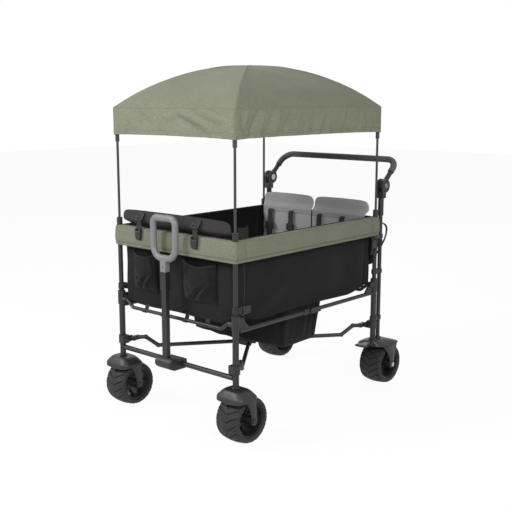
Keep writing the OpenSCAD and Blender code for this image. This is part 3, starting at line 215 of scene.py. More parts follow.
def curve(points, count):
    """Smooth line through the points (Catmull-Rom), resampled to even steps."""
    p = np.asarray(points, float)
    p = np.concatenate([2 * p[:1] - p[1:2], p, 2 * p[-1:] - p[-2:-1]])
    t = np.linspace(0, len(p) - 3, 40 * (len(p) - 3) + 1)
    i = np.minimum(t.astype(int), len(p) - 4)
    s = (t - i)[:, None]
    a, b, c, d = p[i], p[i + 1], p[i + 2], p[i + 3]
    q = 0.5 * (2 * b + (c - a) * s + (2 * a - 5 * b + 4 * c - d) * s**2 + (3 * b - a - 3 * c + d) * s**3)
    length = np.append(0, np.cumsum(np.linalg.norm(np.diff(q, axis=0), axis=1)))
    even = np.linspace(0, length[-1], count)
    return np.stack([np.interp(even, length, q[:, k]) for k in range(3)], 1)


def rounded_block(centre, half, power=0.3, rows=14, cols=24):
    """Block with soft edges: a superellipsoid of given half sizes."""
    lat = np.linspace(-np.pi / 2, np.pi / 2, rows)[:, None]
    lon = np.linspace(0, 2 * np.pi, cols, endpoint=False)[None]
    ring = signed_power(np.cos(lat), power)
    x, y = ring * signed_power(np.cos(lon), power), ring * signed_power(np.sin(lon), power)
    z = signed_power(np.sin(lat), power) + 0 * lon
    return surface(np.asarray(centre) + np.stack([x, y, z], -1) * np.asarray(half), (False, True), True)


def ripple(u, v, size, seed, waves=8, level=3):
    """Soft wrinkles from about -1 to 1: sine waves of random direction with lengths near size."""
    rng = np.random.default_rng(seed)
    angle, phase = rng.uniform(0, 2 * np.pi, waves), rng.uniform(0, 2 * np.pi, waves)
    wave = 2 * np.pi / size * rng.uniform(0.6, 1.6, waves)
    return sum(np.sin(w * (np.cos(a) * u + np.sin(a) * v) + p) for a, w, p in zip(angle, wave, phase)) / level


def crease(u, v, start, end, width):
    """Fold line from start to end: one along it and falling off over a width, with tapered ends."""
    start, end = np.asarray(start, float), np.asarray(end, float)
    line = end - start
    share = ((u - start[0]) * line[0] + (v - start[1]) * line[1]) / (line @ line)
    off = ((u - start[0]) * line[1] - (v - start[1]) * line[0]) / np.linalg.norm(line)
    return np.exp(-((off / width) ** 2)) * np.exp(-((2 * share - 1) ** 4))


def grid_area(points, wrap=False):
    """Area of a grid of points."""
    p = np.concatenate([points, points[:, :1]], 1) if wrap else points
    a, b = p[1:, 1:] - p[:-1, :-1], p[1:, :-1] - p[:-1, 1:]
    return float(np.linalg.norm(np.cross(a, b), axis=2).sum() / 2)


def gather(obj, body):
    """Rides on a rear body, with a mesh of its own."""
    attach(obj, body)
    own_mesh(obj)


def coordinates(mesh):
    """Vertex places as an array."""
    flat = np.empty(3 * len(mesh.vertices), np.float32)
    mesh.vertices.foreach_get("co", flat)
    return flat.reshape(-1, 3).astype(float)


def swell(obj, sewn, pressure, limit, frames=20):
    """Swells a closed cushion with cloth under pressure, held along its sewn points, up to a limit."""
    obj.vertex_groups.new(name="sewn").add(sewn.tolist(), 1.0, "REPLACE")
    cloth = obj.modifiers.new("swell", "CLOTH")
    cloth.settings.use_pressure = True
    cloth.settings.uniform_pressure_force = pressure
    cloth.settings.vertex_group_mass = "sewn"
    cloth.settings.effector_weights.gravity = 0
    cloth.settings.tension_stiffness = cloth.settings.compression_stiffness = 20
    cloth.settings.bending_stiffness = 0.4
    cloth.point_cache.frame_start, cloth.point_cache.frame_end = 1, frames
    for step in range(1, frames + 1):
        bpy.context.scene.frame_set(step)
    moved = coordinates(obj.evaluated_get(bpy.context.evaluated_depsgraph_get()).data)
    obj.modifiers.remove(cloth)
    obj.vertex_groups.clear()
    bpy.context.scene.frame_set(1)
    rest = coordinates(obj.data)
    shift = moved - rest
    size = np.linalg.norm(shift, axis=1, keepdims=True)
    rest += shift * np.minimum(1, limit / np.maximum(size, SMALL))
    obj.data.vertices.foreach_set("co", rest.astype(np.float32).ravel())
    obj.data.update()


# Finishes


def add_node(tree, kind, settings=None, **inputs):
    """Node of a kind with its settings; each input is a value or another node's socket."""
    made = tree.nodes.new(kind)
    for key, value in (settings or {}).items():
        setattr(made, key, value)
    for key, value in inputs.items():
        socket = made.inputs[int(key[1:])] if key[1:].isdigit() else made.inputs[key.replace("_", " ")]
        if isinstance(value, bpy.types.NodeSocket):
            tree.links.new(value, socket)
        else:
            socket.default_value = value
    return made


def maths(tree, operation, a, b=0.0):
    """Math node's result."""
    return add_node(tree, "ShaderNodeMath", {"operation": operation}, i0=a, i1=b).outputs[0]


def new_group(name, inputs, outputs):
    """Shader node group with named sockets."""
    group = bpy.data.node_groups.new(name, "ShaderNodeTree")
    kinds = {"v": "NodeSocketVector", "f": "NodeSocketFloat", "c": "NodeSocketColor"}
    for label, kind, default in inputs:
        socket = group.interface.new_socket(label, in_out="INPUT", socket_type=kinds[kind])
        if default is not None:
            socket.default_value = default
    for label, kind in outputs:
        group.interface.new_socket(label, in_out="OUTPUT", socket_type=kinds[kind])
    return group, group.nodes.new("NodeGroupInput").outputs, group.nodes.new("NodeGroupOutput").inputs


def stretched(tree, vector, scale):
    """Vector scaled by axis."""
    return add_node(tree, "ShaderNodeVectorMath", {"operation": "MULTIPLY"}, i0=vector, i1=scale).outputs[0]


def noise(tree, vector, scale, detail=2.0, rough=0.5):
    """Noise from 0 to 1."""
    made = add_node(tree, "ShaderNodeTexNoise", None, Vector=vector, Scale=scale, Detail=detail,
                    Roughness=rough)
    return made.outputs["Fac"]


def ranged(tree, value, low, high, to_low=0.0, to_high=1.0):
    """Value moved from one range to another and clamped."""
    made = add_node(tree, "ShaderNodeMapRange", None, i0=value, i1=low, i2=high, i3=to_low, i4=to_high)
    return made.outputs[0]


def mixed(tree, share, a, b):
    """Mix of two colours."""
    made = add_node(tree, "ShaderNodeMix", {"data_type": "RGBA"}, i0=share, i6=a, i7=b)
    return made.outputs[2]


def woven_group():
    """Heathered weave: warp and weft streaks of two yarns, a plain weave's relief and broad uneven fading."""
    group, given, out = new_group(
        "woven yarn",
        [("Vector", "v", None), ("Threads", "f", 700.0), ("Yarn", "c", None), ("Fleck", "c", None),
         ("Heather", "f", 0.5), ("Fading", "f", 0.1)],
        [("Color", "c"), ("Height", "f")],
    )
    vector = given["Vector"]
    warp = noise(group, stretched(group, vector, (0.3, 2.4, 1.0)), 330.0, 3.0)
    weft = noise(group, stretched(group, vector, (2.4, 0.3, 1.0)), 330.0, 3.0)
    mottle = noise(group, vector, 130.0, 2.0)
    streak = maths(group, "ADD", maths(group, "ADD", warp, weft), maths(group, "MULTIPLY", mottle, 0.7))
    fleck = maths(group, "MULTIPLY", ranged(group, streak, 1.12, 1.58), given["Heather"])
    colour = mixed(group, fleck, given["Yarn"], given["Fleck"])
    fade = ranged(group, noise(group, vector, 7.0, 3.0), 0.3, 0.7, 1.0, 0.0)
    dark = mixed(group, maths(group, "MULTIPLY", fade, given["Fading"]), colour, (0.0, 0.0, 0.0, 1.0))
    group.links.new(dark, out["Color"])
    parts = add_node(group, "ShaderNodeSeparateXYZ", None, Vector=vector)
    turn = maths(group, "MULTIPLY", given["Threads"], math.pi)
    over = maths(group, "SINE", maths(group, "MULTIPLY", parts.outputs[0], turn))
    under = maths(group, "SINE", maths(group, "MULTIPLY", parts.outputs[1], turn))
    weave = maths(group, "MULTIPLY", over, under)
    group.links.new(maths(group, "ADD", weave, maths(group, "MULTIPLY", streak, 0.8)), out["Height"])
    return group


def moulded_group():
    """Moulded or coated skin: fine grain, rubbed patches that are paler and smoother, and dust low down."""
    group, given, out = new_group(
        "moulded skin",
        [("Vector", "v", None), ("Grain", "f", 900.0), ("Base", "c", None), ("Rubbed", "c", None),
         ("Gloss", "f", 0.45), ("Dust", "f", 0.0)],
        [("Color", "c"), ("Roughness", "f"), ("Height", "f")],
    )
    vector = given["Vector"]
    patch = noise(group, vector, 22.0, 4.0, 0.6)
    scratch = noise(group, stretched(group, vector, (1.0, 1.0, 0.12)), 260.0, 2.0)
    rub = maths(group, "MULTIPLY", ranged(group, patch, 0.5, 0.72), ranged(group, scratch, 0.45, 0.7))
    colour = mixed(group, maths(group, "MULTIPLY", rub, 0.6), given["Base"], given["Rubbed"])
    low = ranged(group, add_node(group, "ShaderNodeSeparateXYZ", None, Vector=vector).outputs[2], 0.12, 0.0)
    dusty = maths(group, "MULTIPLY", maths(group, "MULTIPLY", low, given["Dust"]), patch)
    colour = mixed(group, dusty, colour, (0.23, 0.21, 0.18, 1.0))
    group.links.new(colour, out["Color"])
    rough = maths(group, "ADD", given["Gloss"], maths(group, "MULTIPLY", patch, 0.16))
    group.links.new(maths(group, "SUBTRACT", rough, maths(group, "MULTIPLY", rub, 0.1)), out["Roughness"])
    group.links.new(noise(group, vector, given["Grain"], 2.0), out["Height"])
    return group


def ribbed_group():
    """Webbing: ribs across the strap with a fine herringbone, from the strap's own flat lengths."""
    group, given, out = new_group(
        "webbing ribs", [("Vector", "v", None), ("Base", "c", None), ("Worn", "c", None)],
        [("Color", "c"), ("Height", "f")],
    )
    parts = add_node(group, "ShaderNodeSeparateXYZ", None, Vector=given["Vector"])
    across = maths(group, "SINE", maths(group, "MULTIPLY", parts.outputs[1], 2 * math.pi * 620))
    along = maths(group, "SINE", maths(group, "MULTIPLY", parts.outputs[0], 2 * math.pi * 420))
    weave = maths(group, "MULTIPLY", across, maths(group, "ADD", maths(group, "MULTIPLY", along, 0.4), 0.6))
    group.links.new(weave, out["Height"])
    worn = ranged(group, noise(group, given["Vector"], 90.0, 3.0), 0.45, 0.75)
    group.links.new(mixed(group, worn, given["Base"], given["Worn"]), out["Color"])
    return group


def stitched_group():
    """Row of stitches along the flat length at one height: dashes of thread, sunk in a soft groove whose mask also
    sets the painted shade along the row.
    """
    group, given, out = new_group(
        "stitch row", [("Vector", "v", None), ("Place", "f", 0.01), ("Length", "f", 0.006)],
        [("Thread", "f"), ("Groove and painted shade", "f")],
    )
    parts = add_node(group, "ShaderNodeSeparateXYZ", None, Vector=given["Vector"])
    off = maths(group, "ABSOLUTE", maths(group, "SUBTRACT", parts.outputs[1], given["Place"]))
    dash = maths(group, "FRACT", maths(group, "DIVIDE", parts.outputs[0], given["Length"]))
    line = ranged(group, off, 0.0011, 0.0007)
    group.links.new(maths(group, "MULTIPLY", line, maths(group, "LESS_THAN", dash, 0.68)), out["Thread"])
    group.links.new(ranged(group, off, 0.0045, 0.0), out["Groove and painted shade"])
    return group


GROUPS = {}
FINISHES = {}


def group_node(tree, name, **inputs):
    """One of the shared groups, placed in a material."""
    makers = {"woven": woven_group, "moulded": moulded_group, "ribbed": ribbed_group,
              "stitched": stitched_group}
    if name not in GROUPS:
        GROUPS[name] = makers[name]()
    return add_node(tree, "ShaderNodeGroup", {"node_tree": GROUPS[name]}, **inputs).outputs


def new_material(name, coords):
    """Material with its shader and the socket of its coordinates."""
    material = bpy.data.materials.new(name)
    material.use_nodes = True
    tree = material.node_tree
    shader = tree.nodes["Principled BSDF"]
    vector = add_node(tree, "ShaderNodeTexCoord").outputs[coords]
    FINISHES[name] = material
    return material, tree, shader, vector


def bumped(tree, shader, height, strength, distance):
    """Relief on the shader's normal."""
    bump = add_node(tree, "ShaderNodeBump", None, Strength=strength, Distance=distance, Height=height)
    tree.links.new(bump.outputs[0], shader.inputs["Normal"])


def shade(colour, factor):
    """Colour made lighter or darker."""
    return tuple(min(1.0, channel * factor) for channel in colour[:3]) + (1.0,)


def cloth_finish(name, colour, fleck, heather=0.5, threads=700.0, relief=0.35, stitches=(), thread=None,
                 turned=False):
    """Fabric with its weave, flecks, fading and rows of stitches at given heights of its flat length, with painted
    shade darkening the groove of each row.

    Turned, its flat lengths change places, so that the stitches follow the rows of the grid.
    """
    material, tree, shader, vector = new_material(name, "UV")
    if turned:
        parts = add_node(tree, "ShaderNodeSeparateXYZ", None, Vector=vector).outputs
        vector = add_node(tree, "ShaderNodeCombineXYZ", None, X=parts[1], Y=parts[0]).outputs[0]
    woven = group_node(tree, "woven", Vector=vector, Threads=threads, Yarn=shade(colour, 1),
                       Fleck=shade(fleck, 1), Heather=heather, Fading=0.12)
    colour_out, height = woven["Color"], woven["Height"]
    for place in stitches:
        row = group_node(tree, "stitched", Vector=vector, Place=place)
        # painted shade: the colour darkens across each stitch row's groove
        colour_out = mixed(tree, maths(tree, "MULTIPLY", row["Groove and painted shade"], 0.45), colour_out,
                           shade(colour, 0.35))
        colour_out = mixed(tree, row["Thread"], colour_out, shade(thread or fleck, 1))
        height = maths(tree, "SUBTRACT", height, maths(tree, "MULTIPLY", row["Groove and painted shade"], 4.0))
    tree.links.new(colour_out, shader.inputs["Base Color"])
    shader.inputs["Roughness"].default_value = 0.9
    shader.inputs["Specular IOR Level"].default_value = 0.12
    shader.inputs["Sheen Weight"].default_value = 0.06
    bumped(tree, shader, height, relief, 0.0005)
    return material


def webbing_finish(name, colour):
    """Ribbed strap."""
    material, tree, shader, vector = new_material(name, "UV")
    ribs = group_node(tree, "ribbed", Vector=vector, Base=shade(colour, 1), Worn=shade(colour, 1.9))
    tree.links.new(ribs["Color"], shader.inputs["Base Color"])
    shader.inputs["Roughness"].default_value = 0.75
    bumped(tree, shader, ribs["Height"], 0.5, 0.0006)
    return material


def moulded_finish(name, colour, rubbed, gloss, grain=900.0, relief=0.2, metallic=0.0, dust=0.0, coat=0.0):
    """Plastic, rubber, foam or coated metal."""
    material, tree, shader, vector = new_material(name, "Object")
    skin = group_node(tree, "moulded", Vector=vector, Grain=grain, Base=shade(colour, 1),
                      Rubbed=shade(rubbed, 1), Gloss=gloss, Dust=dust)
    tree.links.new(skin["Color"], shader.inputs["Base Color"])
    tree.links.new(skin["Roughness"], shader.inputs["Roughness"])
    shader.inputs["Metallic"].default_value = metallic
    shader.inputs["Coat Weight"].default_value = coat
    bumped(tree, shader, skin["Height"], relief, 0.0005)
    return material


# Settings


class WagonColours(bpy.types.PropertyGroup):
    """Colours of the wagon's materials."""

    def colour(label, words, value):
        return bpy.props.FloatVectorProperty(
            name=label, description=words, default=value, size=3, min=0.0, max=1.0, subtype="COLOR"
        )

    canvas: colour("Canvas", "Yarn of the canopy and the rim", (0.168, 0.176, 0.124))
    canvas_fleck: colour("Canvas fleck", "Pale fleck in the canopy and the rim", (0.285, 0.293, 0.224))
    tub: colour("Tub", "Fabric of the tub, the floor and the bag", (0.0068, 0.0066, 0.0068))
    light_seat: colour("Rear seat", "Fabric of the rear seat back", (0.29, 0.29, 0.295))
    dark_seat: colour("Front seat", "Fabric of the front seat back and the seat pads", (0.031, 0.0265, 0.029))
    webbing: colour("Webbing", "Straps and bindings", (0.007, 0.007, 0.007))
    tube: colour("Tubes", "Coated frame tubes", (0.0085, 0.0085, 0.0085))
    pole: colour("Poles", "Canopy poles", (0.04, 0.039, 0.034))
    plastic: colour("Plastic", "Moulded black plastic", (0.0085, 0.0085, 0.0085))
    grip: colour("Pull grip", "Moulded grey pull grip and buttons", (0.155, 0.156, 0.162))
    foam: colour("Foam", "Foam of the push grip", (0.075, 0.08, 0.083))
    rubber: colour("Rubber", "Tyres", (0.0045, 0.0045, 0.0044))


class WagonSizes(bpy.types.PropertyGroup):
    """Sizes of the wagon's soft pieces and treads."""

    def length(label, words, value):
        return bpy.props.FloatProperty(name=label, description=words, default=value, min=0.0, unit="LENGTH")

    skirt_fold: length("Skirt fold", "Depth of the folds in the canopy's skirt", 0.0085)
    roof_gather: length("Roof gather", "Depth of the gathers along the roof's edge", 0.0034)
    cloth: length("Cloth", "Thickness of the fabric panels", 0.003)
    canopy_cloth: length("Canopy cloth", "Thickness of the canopy", 0.0018)
    panel_wrinkle: length("Panel wrinkle", "Depth of the wrinkles in the tub", 0.0022)
    strap_width: length("Strap width", "Width of the webbing", 0.024)
    strap: length("Strap", "Thickness of the webbing", 0.0022)
    groove: length("Tread groove", "Depth of the tread's grooves", 0.0048)
    pad_swell: length("Pad swell", "Most that a pad swells when it is filled", 0.006)
    lugs: bpy.props.IntProperty(name="Lugs", description="Chevrons round a tyre", default=18, min=8, max=40)


def colours():
    """Colour settings of the scene."""
    return bpy.context.scene.wagon_colours


def sizes():
    """Size settings of the scene."""
    return bpy.context.scene.wagon_sizes


# Canopy

EDGE_ABOVE_HINGE = 0.306
ROOF_EDGE = float(JOINTS["push_tilt"]["pos_m"][2]) + EDGE_ABOVE_HINGE
ROOF_PEAK = float(span("canopy_cover")[1][2])
ROOF_X, ROOF_Y = 0.4105, 0.3005
SKIRT_H, SKIRT_ARC, SKIRT_PROUD, ROOF_CORNER = 0.0935, 0.006, 0.0004, 0.0105
# Folds keep clear of the corners and come in over a length; sag, ridge and waves are heights of the roof
FOLD_CLEAR, FOLD_EASE, DRAG_W = 0.018, 0.03, 0.011
ROOF_SAG, RIDGE_RISE, BROAD_WAVE, PEAK_SHARE = 0.006, 0.0012, 0.0012, 0.006
PIPING_R, PIPING_SINK, HEM_W, HEM_T = 0.0013, 0.0008, 0.011, 0.0026
STRIP_COLUMNS, STRIP_PROUD = 8, 0.0012
RIB_R, RIB_BELOW, RIB_FOOT_TOP, RIB_FOOT_LOW = 0.004, 0.0095, 0.004, 0.0155
HUB_BELOW = 0.017
HUB_ROWS = ((0.001, 0), (0.017, 0), (0.02, 0.002), (0.02, 0.008), (0.017, 0.010), (0.001, 0.010))
ROOF_DIAGONAL = math.hypot(ROOF_X, ROOF_Y) - ROOF_CORNER * (math.sqrt(2) - 1)
# Drag lines of the skirt: how far each stands out, and its two ends along the side and down from the edge
FRONT_DRAGS = (
    (1.0, (0.05, 0.012), (0.20, 0.068)), (-1.0, (0.02, 0.02), (0.17, 0.085)),
    (0.8, (0.13, 0.008), (0.25, 0.042)), (0.7, (-0.03, 0.03), (0.04, 0.024)),
    (-0.6, (-0.17, 0.01), (-0.10, 0.06)), (0.6, (-0.22, 0.02), (-0.16, 0.08)),
)
SIDE_DRAGS = (
    (-1.1, (-0.392, 0.012), (-0.362, 0.085)), (1.0, (-0.350, 0.004), (-0.382, 0.1)),
    (-1.0, (-0.300, 0.008), (-0.340, 0.1)), (0.9, (-0.270, 0.002), (-0.300, 0.1)),
    (-0.8, (-0.225, 0.01), (-0.265, 0.098)), (0.7, (-0.190, 0.004), (-0.220, 0.095)),
    (-0.6, (-0.13, 0.01), (-0.18, 0.09)), (0.5, (0.05, 0.02), (0.0, 0.09)), (-0.5, (0.2, 0.01), (0.16, 0.09)),
    (0.6, (0.36, 0.004), (0.385, 0.09)),
)


def canopy_outline(per_side):
    """Plan of the roof's edge, counter-clockwise from the front right, with its corners rounded.

    Gives the points from the middle, the outward directions, the side's number and the place along it.
    """
    t = np.tile(-1 + 2 * np.arange(per_side) / per_side, 4)
    side = np.repeat(np.arange(4), per_side)
    s, one = np.sin(np.pi / 2 * t), np.ones_like(t)
    x = np.choose(side, [ROOF_X * one, -ROOF_X * s, -ROOF_X * one, ROOF_X * s])
    y = np.choose(side, [ROOF_Y * s, ROOF_Y * one, -ROOF_Y * s, -ROOF_Y * one])
    core = np.array([ROOF_X, ROOF_Y]) - ROOF_CORNER
    plan = np.stack([x, y], 1)
    past = np.maximum(0, np.abs(plan) - core)
    reach = np.linalg.norm(past, axis=1, keepdims=True)
    drawn = np.sign(plan) * (core + past * ROOF_CORNER / np.maximum(reach, SMALL))
    plan = np.where((past.min(1) > 0)[:, None] & (reach > ROOF_CORNER), drawn, plan)
    step = unit(np.roll(plan, -1, 0) - np.roll(plan, 1, 0))
    return plan, np.stack([step[:, 1], -step[:, 0]], 1), side, t


def dome(m):
    """Rise of the roof at a share m of the way from the peak to the edge: one arc from corner to corner."""
    rise = ROOF_PEAK - ROOF_EDGE
    radius = (ROOF_DIAGONAL**2 + rise**2) / (2 * rise)
    return np.sqrt(radius**2 - (m * ROOF_DIAGONAL) ** 2) - radius + rise


def canopy_grid(per_side=144, skirt_rows=18, roof_rows=36):
    """Skirt and roof as one sheet: the skirt hangs in folds, and the roof arches between its ridges."""
    plan, out, side, t = canopy_outline(per_side)
    half = np.where(side % 2 == 0, ROOF_Y, ROOF_X)
    along = np.sin(np.pi / 2 * t) * half
    d = np.linspace(1, 0, skirt_rows, endpoint=False)[:, None]
    drop = d * (SKIRT_H - SKIRT_ARC * (1 - t**2))
    bell = ease((half - np.abs(along) - FOLD_CLEAR) / FOLD_EASE)
    near_corner = np.exp(-(((1 - np.abs(t)) / 0.3) ** 2))
    folds = (0.25 + 0.5 * near_corner) * ripple(along, 0.3 * drop + side * 0.7, 0.06, 11)
    folds = folds + 0.4 * ripple(along, drop + side, 0.2, 12)
    drags = 0
    for number, lines in enumerate((FRONT_DRAGS, SIDE_DRAGS)):
        pulled = sum(lift * crease(along, drop, start, end, DRAG_W) for lift, start, end in lines)
        drags = drags + np.where(side % 2 == number, pulled, 0)
    pucker = ripple(along, side * 0.4 + 0 * drop, 0.022, 15) * d**6
    depth = sizes().skirt_fold
    push = SKIRT_PROUD + bell * depth * (folds * d**0.8 + drags + 0.2 * pucker)
    skirt = np.empty((skirt_rows, len(t), 3))
    skirt[..., :2] = plan + push[..., None] * out
    skirt[..., 2] = ROOF_EDGE - drop
    m = (1 - np.linspace(0, 1, roof_rows) ** 0.92)[:, None]
    m = np.maximum(m, PEAK_SHARE)
    sag = ROOF_SAG * (1 - t**2) ** 2 * np.sin(np.pi * m)
    ridge = (RIDGE_RISE * np.exp(-(((1 - np.abs(t)) / 0.16) ** 2)) * np.minimum(1, (1 - m) * 8)
             * np.minimum(1, m * 4))
    gathers = np.exp(-((1 - m) / 0.1)) * ripple(along * m, side * 0.9 + 0.3 * m, 0.03, 13)
    gathers = gathers * (1 - np.exp(-(1 - m) / 0.012))
    broad = BROAD_WAVE * ripple(along * m, m * half, 0.35, 14) * np.sin(np.pi * m)
    roof = np.empty((roof_rows, len(t), 3))
    roof[..., :2] = plan * m[..., None]
    roof[..., 2] = ROOF_EDGE + dome(m) - sag + ridge + sizes().roof_gather * gathers * bell + broad
    grid = np.concatenate([skirt, roof])
    grid[..., 0] += MID_X
    return grid, skirt_rows


def canopy_strips(grid, skirt_rows):
    """Seams of the canopy: piping round the roof's edge, a hem, and strips up the corners."""
    per_side = grid.shape[1] // 4
    piping = tube(grid[skirt_rows] - PIPING_SINK * UP, PIPING_R, UP, True, 8)
    hem = surface(sweep(grid[0], flat_profile(HEM_W, HEM_T), UP, True), (True, True))
    wide = np.arange(-STRIP_COLUMNS, STRIP_COLUMNS + 1)
    strips = []
    for corner in range(4):
        band = grid[: skirt_rows + 1, (corner * per_side + wide) % grid.shape[1]]
        away = unit((band - [MID_X, 0, 0]) * [1, 1, 0])
        strips.append(surface(band + away * STRIP_PROUD))
    return [piping, hem], strips


def build_canopy():
    """Canopy cover with its seams, and the bent ribs below it."""
    grid, skirt_rows = canopy_grid()
    points, faces, loops = surface(grid, (False, True))
    cols = grid.shape[1]
    top = list(range(len(points) - cols, len(points)))
    cover = make("canopy_cover_cloth",
                 [(points, faces + [top], np.concatenate([loops, np.zeros((cols, 2))]))], FINISHES["canvas"])
    thicken(cover, sizes().canopy_cloth)
    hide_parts("canopy_cover")
    seams, corners = canopy_strips(grid, skirt_rows)
    trim = make("canopy_seams", seams, FINISHES["canvas_trim"], outward=True)
    strips = make("canopy_corner_strips", corners, FINISHES["canvas_trim"])
    ribs = []
    lean = math.atan2(POST_Y, FRONT_X - MID_X)
    run = math.hypot(POST_Y, FRONT_X - MID_X)
    for angle in (lean, math.pi - lean, math.pi + lean, -lean):
        direction = np.array([math.cos(angle), math.sin(angle), 0])
        share = np.linspace(0.02, 1, 40)
        line = np.array([MID_X, 0, 0]) + direction * run * share[:, None]
        line[:, 2] = ROOF_EDGE + dome(share * run / ROOF_DIAGONAL) - RIB_BELOW
        ends = (line[-1, 2] - RIB_FOOT_TOP) * UP, (ROOF_EDGE - RIB_FOOT_LOW) * UP
        foot = line[-1] * [1, 1, 0] + np.linspace(*ends, 6)
        ribs.append(tube(np.concatenate([line[:-1], foot]), RIB_R, np.cross(direction, UP)))
    hub_angle = np.linspace(0, 2 * np.pi, 32, endpoint=False)
    ring, level = np.array(HUB_ROWS).T[..., None] + 0 * hub_angle
    hub = np.stack([MID_X + ring * np.cos(hub_angle), ring * np.sin(hub_angle),
                    ROOF_PEAK - HUB_BELOW + level], -1)
    ribs.append(surface(hub, (False, True), True))
    rib_set = make("canopy_rib_set", ribs, FINISHES["pole"], outward=True)
    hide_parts("canopy_ribs")
    gather(rib_set, "canopy")
    for piece in (cover, trim, strips):
        gather(piece, "canopy")


# Rim and tub


def corner_path(x, y, radius, end_x, straight=40, bend=10, side=6):
    """U-shaped line round one end of the wagon at half sizes x and y, from the left side to the right."""
    radius = max(radius, 0.0008)
    turn = np.linspace(0, np.pi / 2, bend)
    left = np.stack([np.linspace(end_x, x - radius, side, endpoint=False), np.full(side, y)], 1)
    arc = np.stack([x - radius + radius * np.sin(turn), y - radius + radius * np.cos(turn)], 1)
    across = np.linspace(y - radius, -(y - radius), straight + 2)[1:-1]
    front = np.stack([np.full(straight, x), across], 1)
    return np.concatenate([left, arc, front, arc[::-1] * [1, -1], left[::-1] * [1, -1]])


RIM_CLEAR, RIM_ROUND = 0.0005, 0.0115
RIM_FACE, RIM_SWELL, RIM_WAVE = 0.0132, 0.0026, 0.0003
RIM_SEAM_UP, RIM_SEAM_DEEP, RIM_SEAM_W = 0.0115, 0.0016, 0.003
RIM_PIPING_R, RIM_PIPING_IN, RIM_PIPING_LOW = 0.0024, 0.0128, 0.0012
RIM_RETURN, RIM_GAP = 0.036, 0.0004


def rim_section():
    """Section of the rim as (out, height): a padded band outside, a round top, and a lip down the inside."""
    h = np.linspace(0, 1, 12)
    z = RIM_LOW + RIM_CLEAR + h * (RIM_TOP - RIM_LOW - RIM_ROUND)
    face = RIM_FACE + RIM_SWELL * np.sin(np.pi * h) ** 0.7
    face = face - RIM_SEAM_DEEP * np.exp(-(((z - RIM_LOW - RIM_SEAM_UP) / RIM_SEAM_W) ** 2))
    top = RIM_TOP - RIM_CLEAR
    turn = np.linspace(0, np.pi / 2, 6)
    outer = np.stack([0.0042 + 0.009 * np.cos(turn), top - 0.0095 + 0.0095 * np.sin(turn)], 1)
    inner = np.stack([-0.0068 - 0.0078 * np.sin(turn), top - 0.008 + 0.008 * np.cos(turn)], 1)
    lip = np.array([[-0.0147, top - 0.02], [-0.0147, top - 0.04], [-0.0127, top - 0.043],
                    [-0.0108, top - 0.04], [-0.0108, top - 0.011], [-0.0065, top - 0.0058],
                    [0.0045, top - 0.0058], [0.0094, top - 0.012], [0.0094, RIM_LOW + 0.002],
                    [0.0113, RIM_LOW - 0.0004]])
    return np.concatenate([np.stack([face, z], 1), outer, inner, lip])


def rim_piece(name, node, body, path_of):
    """One length of rim: its section carried along a path that each point of the section offsets."""
    section = rim_section()
    lines = np.stack([path_of(out) for out, _ in section], 1)
    points = np.empty(lines.shape[:2] + (3,))
    points[..., :2] = lines
    points[..., 2] = section[:, 1]
    wave = ripple(points[..., 0] + 2 * points[..., 1], points[..., 2] * 0.5, 0.16, 21)
    facing = unit(points[..., :2] - [MID_X, 0])
    bulge = np.where((section[:, 0] > 0.0115) & (section[:, 1] < RIM_TOP - 0.008), 1.0, 0.0)
    points[..., :2] += facing * (wave * bulge)[..., None] * RIM_WAVE
    rim = make(name, [surface(points, (False, True), True)], FINISHES["rim"], outward=True)
    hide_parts(node)
    line = np.column_stack([path_of(-RIM_PIPING_IN), np.full(len(lines), RIM_TOP - RIM_PIPING_LOW)])
    cord = tube(line, RIM_PIPING_R, UP, sides=10)
    piping = make(name + "_piping", [cord], FINISHES["binding"], outward=True)
    pieces = [rim, piping]
    if body:
        seams = [tube(points[i, 1:19], PIPING_R, points[i + 1, 1] - points[i - 1, 1], sides=8)
                 for i in (10, -11)]
        pieces.append(make(name + "_seams", seams, FINISHES["canvas_trim"], outward=True))
        for piece in pieces:
            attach(piece, body)
    return pieces


def build_rim():
    """Padded rim round the tub: two ends with their corners, and two sides that ride on the rear frame."""
    half = FRONT_X - MID_X
    end = half - RIM_RETURN

    def around(out):
        return corner_path(half + out, POST_Y + out, out - 0.002, end)

    def front(out):
        return around(out) + [MID_X, 0]

    def rear(out):
        return around(out) * [-1, 1] + [MID_X, 0]

    rim_piece("rim_front_band", "rim_front", "front_frame", front)
    rim_piece("rim_rear_band", "rim_rear", "rear_frame", rear)
    x = np.linspace(MID_X - end + RIM_GAP, MID_X + end - RIM_GAP, 70)
    for sign, label in ((1, "left"), (-1, "right")):
        side = lambda out: np.stack([x, np.full(len(x), sign * (POST_Y + out))], 1)
        for piece in rim_piece(f"rim_{label}_band", "rim_sides", None, side):
            gather(piece, "rear_frame")


def panel_drop(along, half, cut_w=0.06, cut_h=0.02):
    """Height of a panel's lower edge above the tub's bottom: cut away at the corners, scalloped between."""
    from_end = np.clip((half - np.abs(along)) / cut_w, 0, 1)
    return cut_h * (1 - from_end) ** 1.2 + 0.004 * np.cos(np.pi * along / half) ** 2


TUB_CORNER, PANEL_GAP, PANEL_IN, END_TENSION, SIDE_BELLY = 0.011, 0.0006, 0.001, 0.004, 0.0035
# Drag lines of the tub's walls: how far each stands out, its two ends along and up, and its width
END_DRAGS = (
    (0.0035, (0.25, 0.42), (0.12, 0.47), 0.012), (0.003, (0.25, 0.40), (0.16, 0.41), 0.01),
    (-0.003, (-0.25, 0.43), (-0.10, 0.46), 0.012),
)
WALL_DRAGS = ((0.003, (0.30, 0.42), (0.12, 0.52), 0.02), (-0.0025, (-0.30, 0.43), (-0.16, 0.56), 0.018))


def dragged(u, v, lines):
    """Sum of the drag lines in a table."""
    return sum(lift * crease(u, v, start, end, width) for lift, start, end, width in lines)


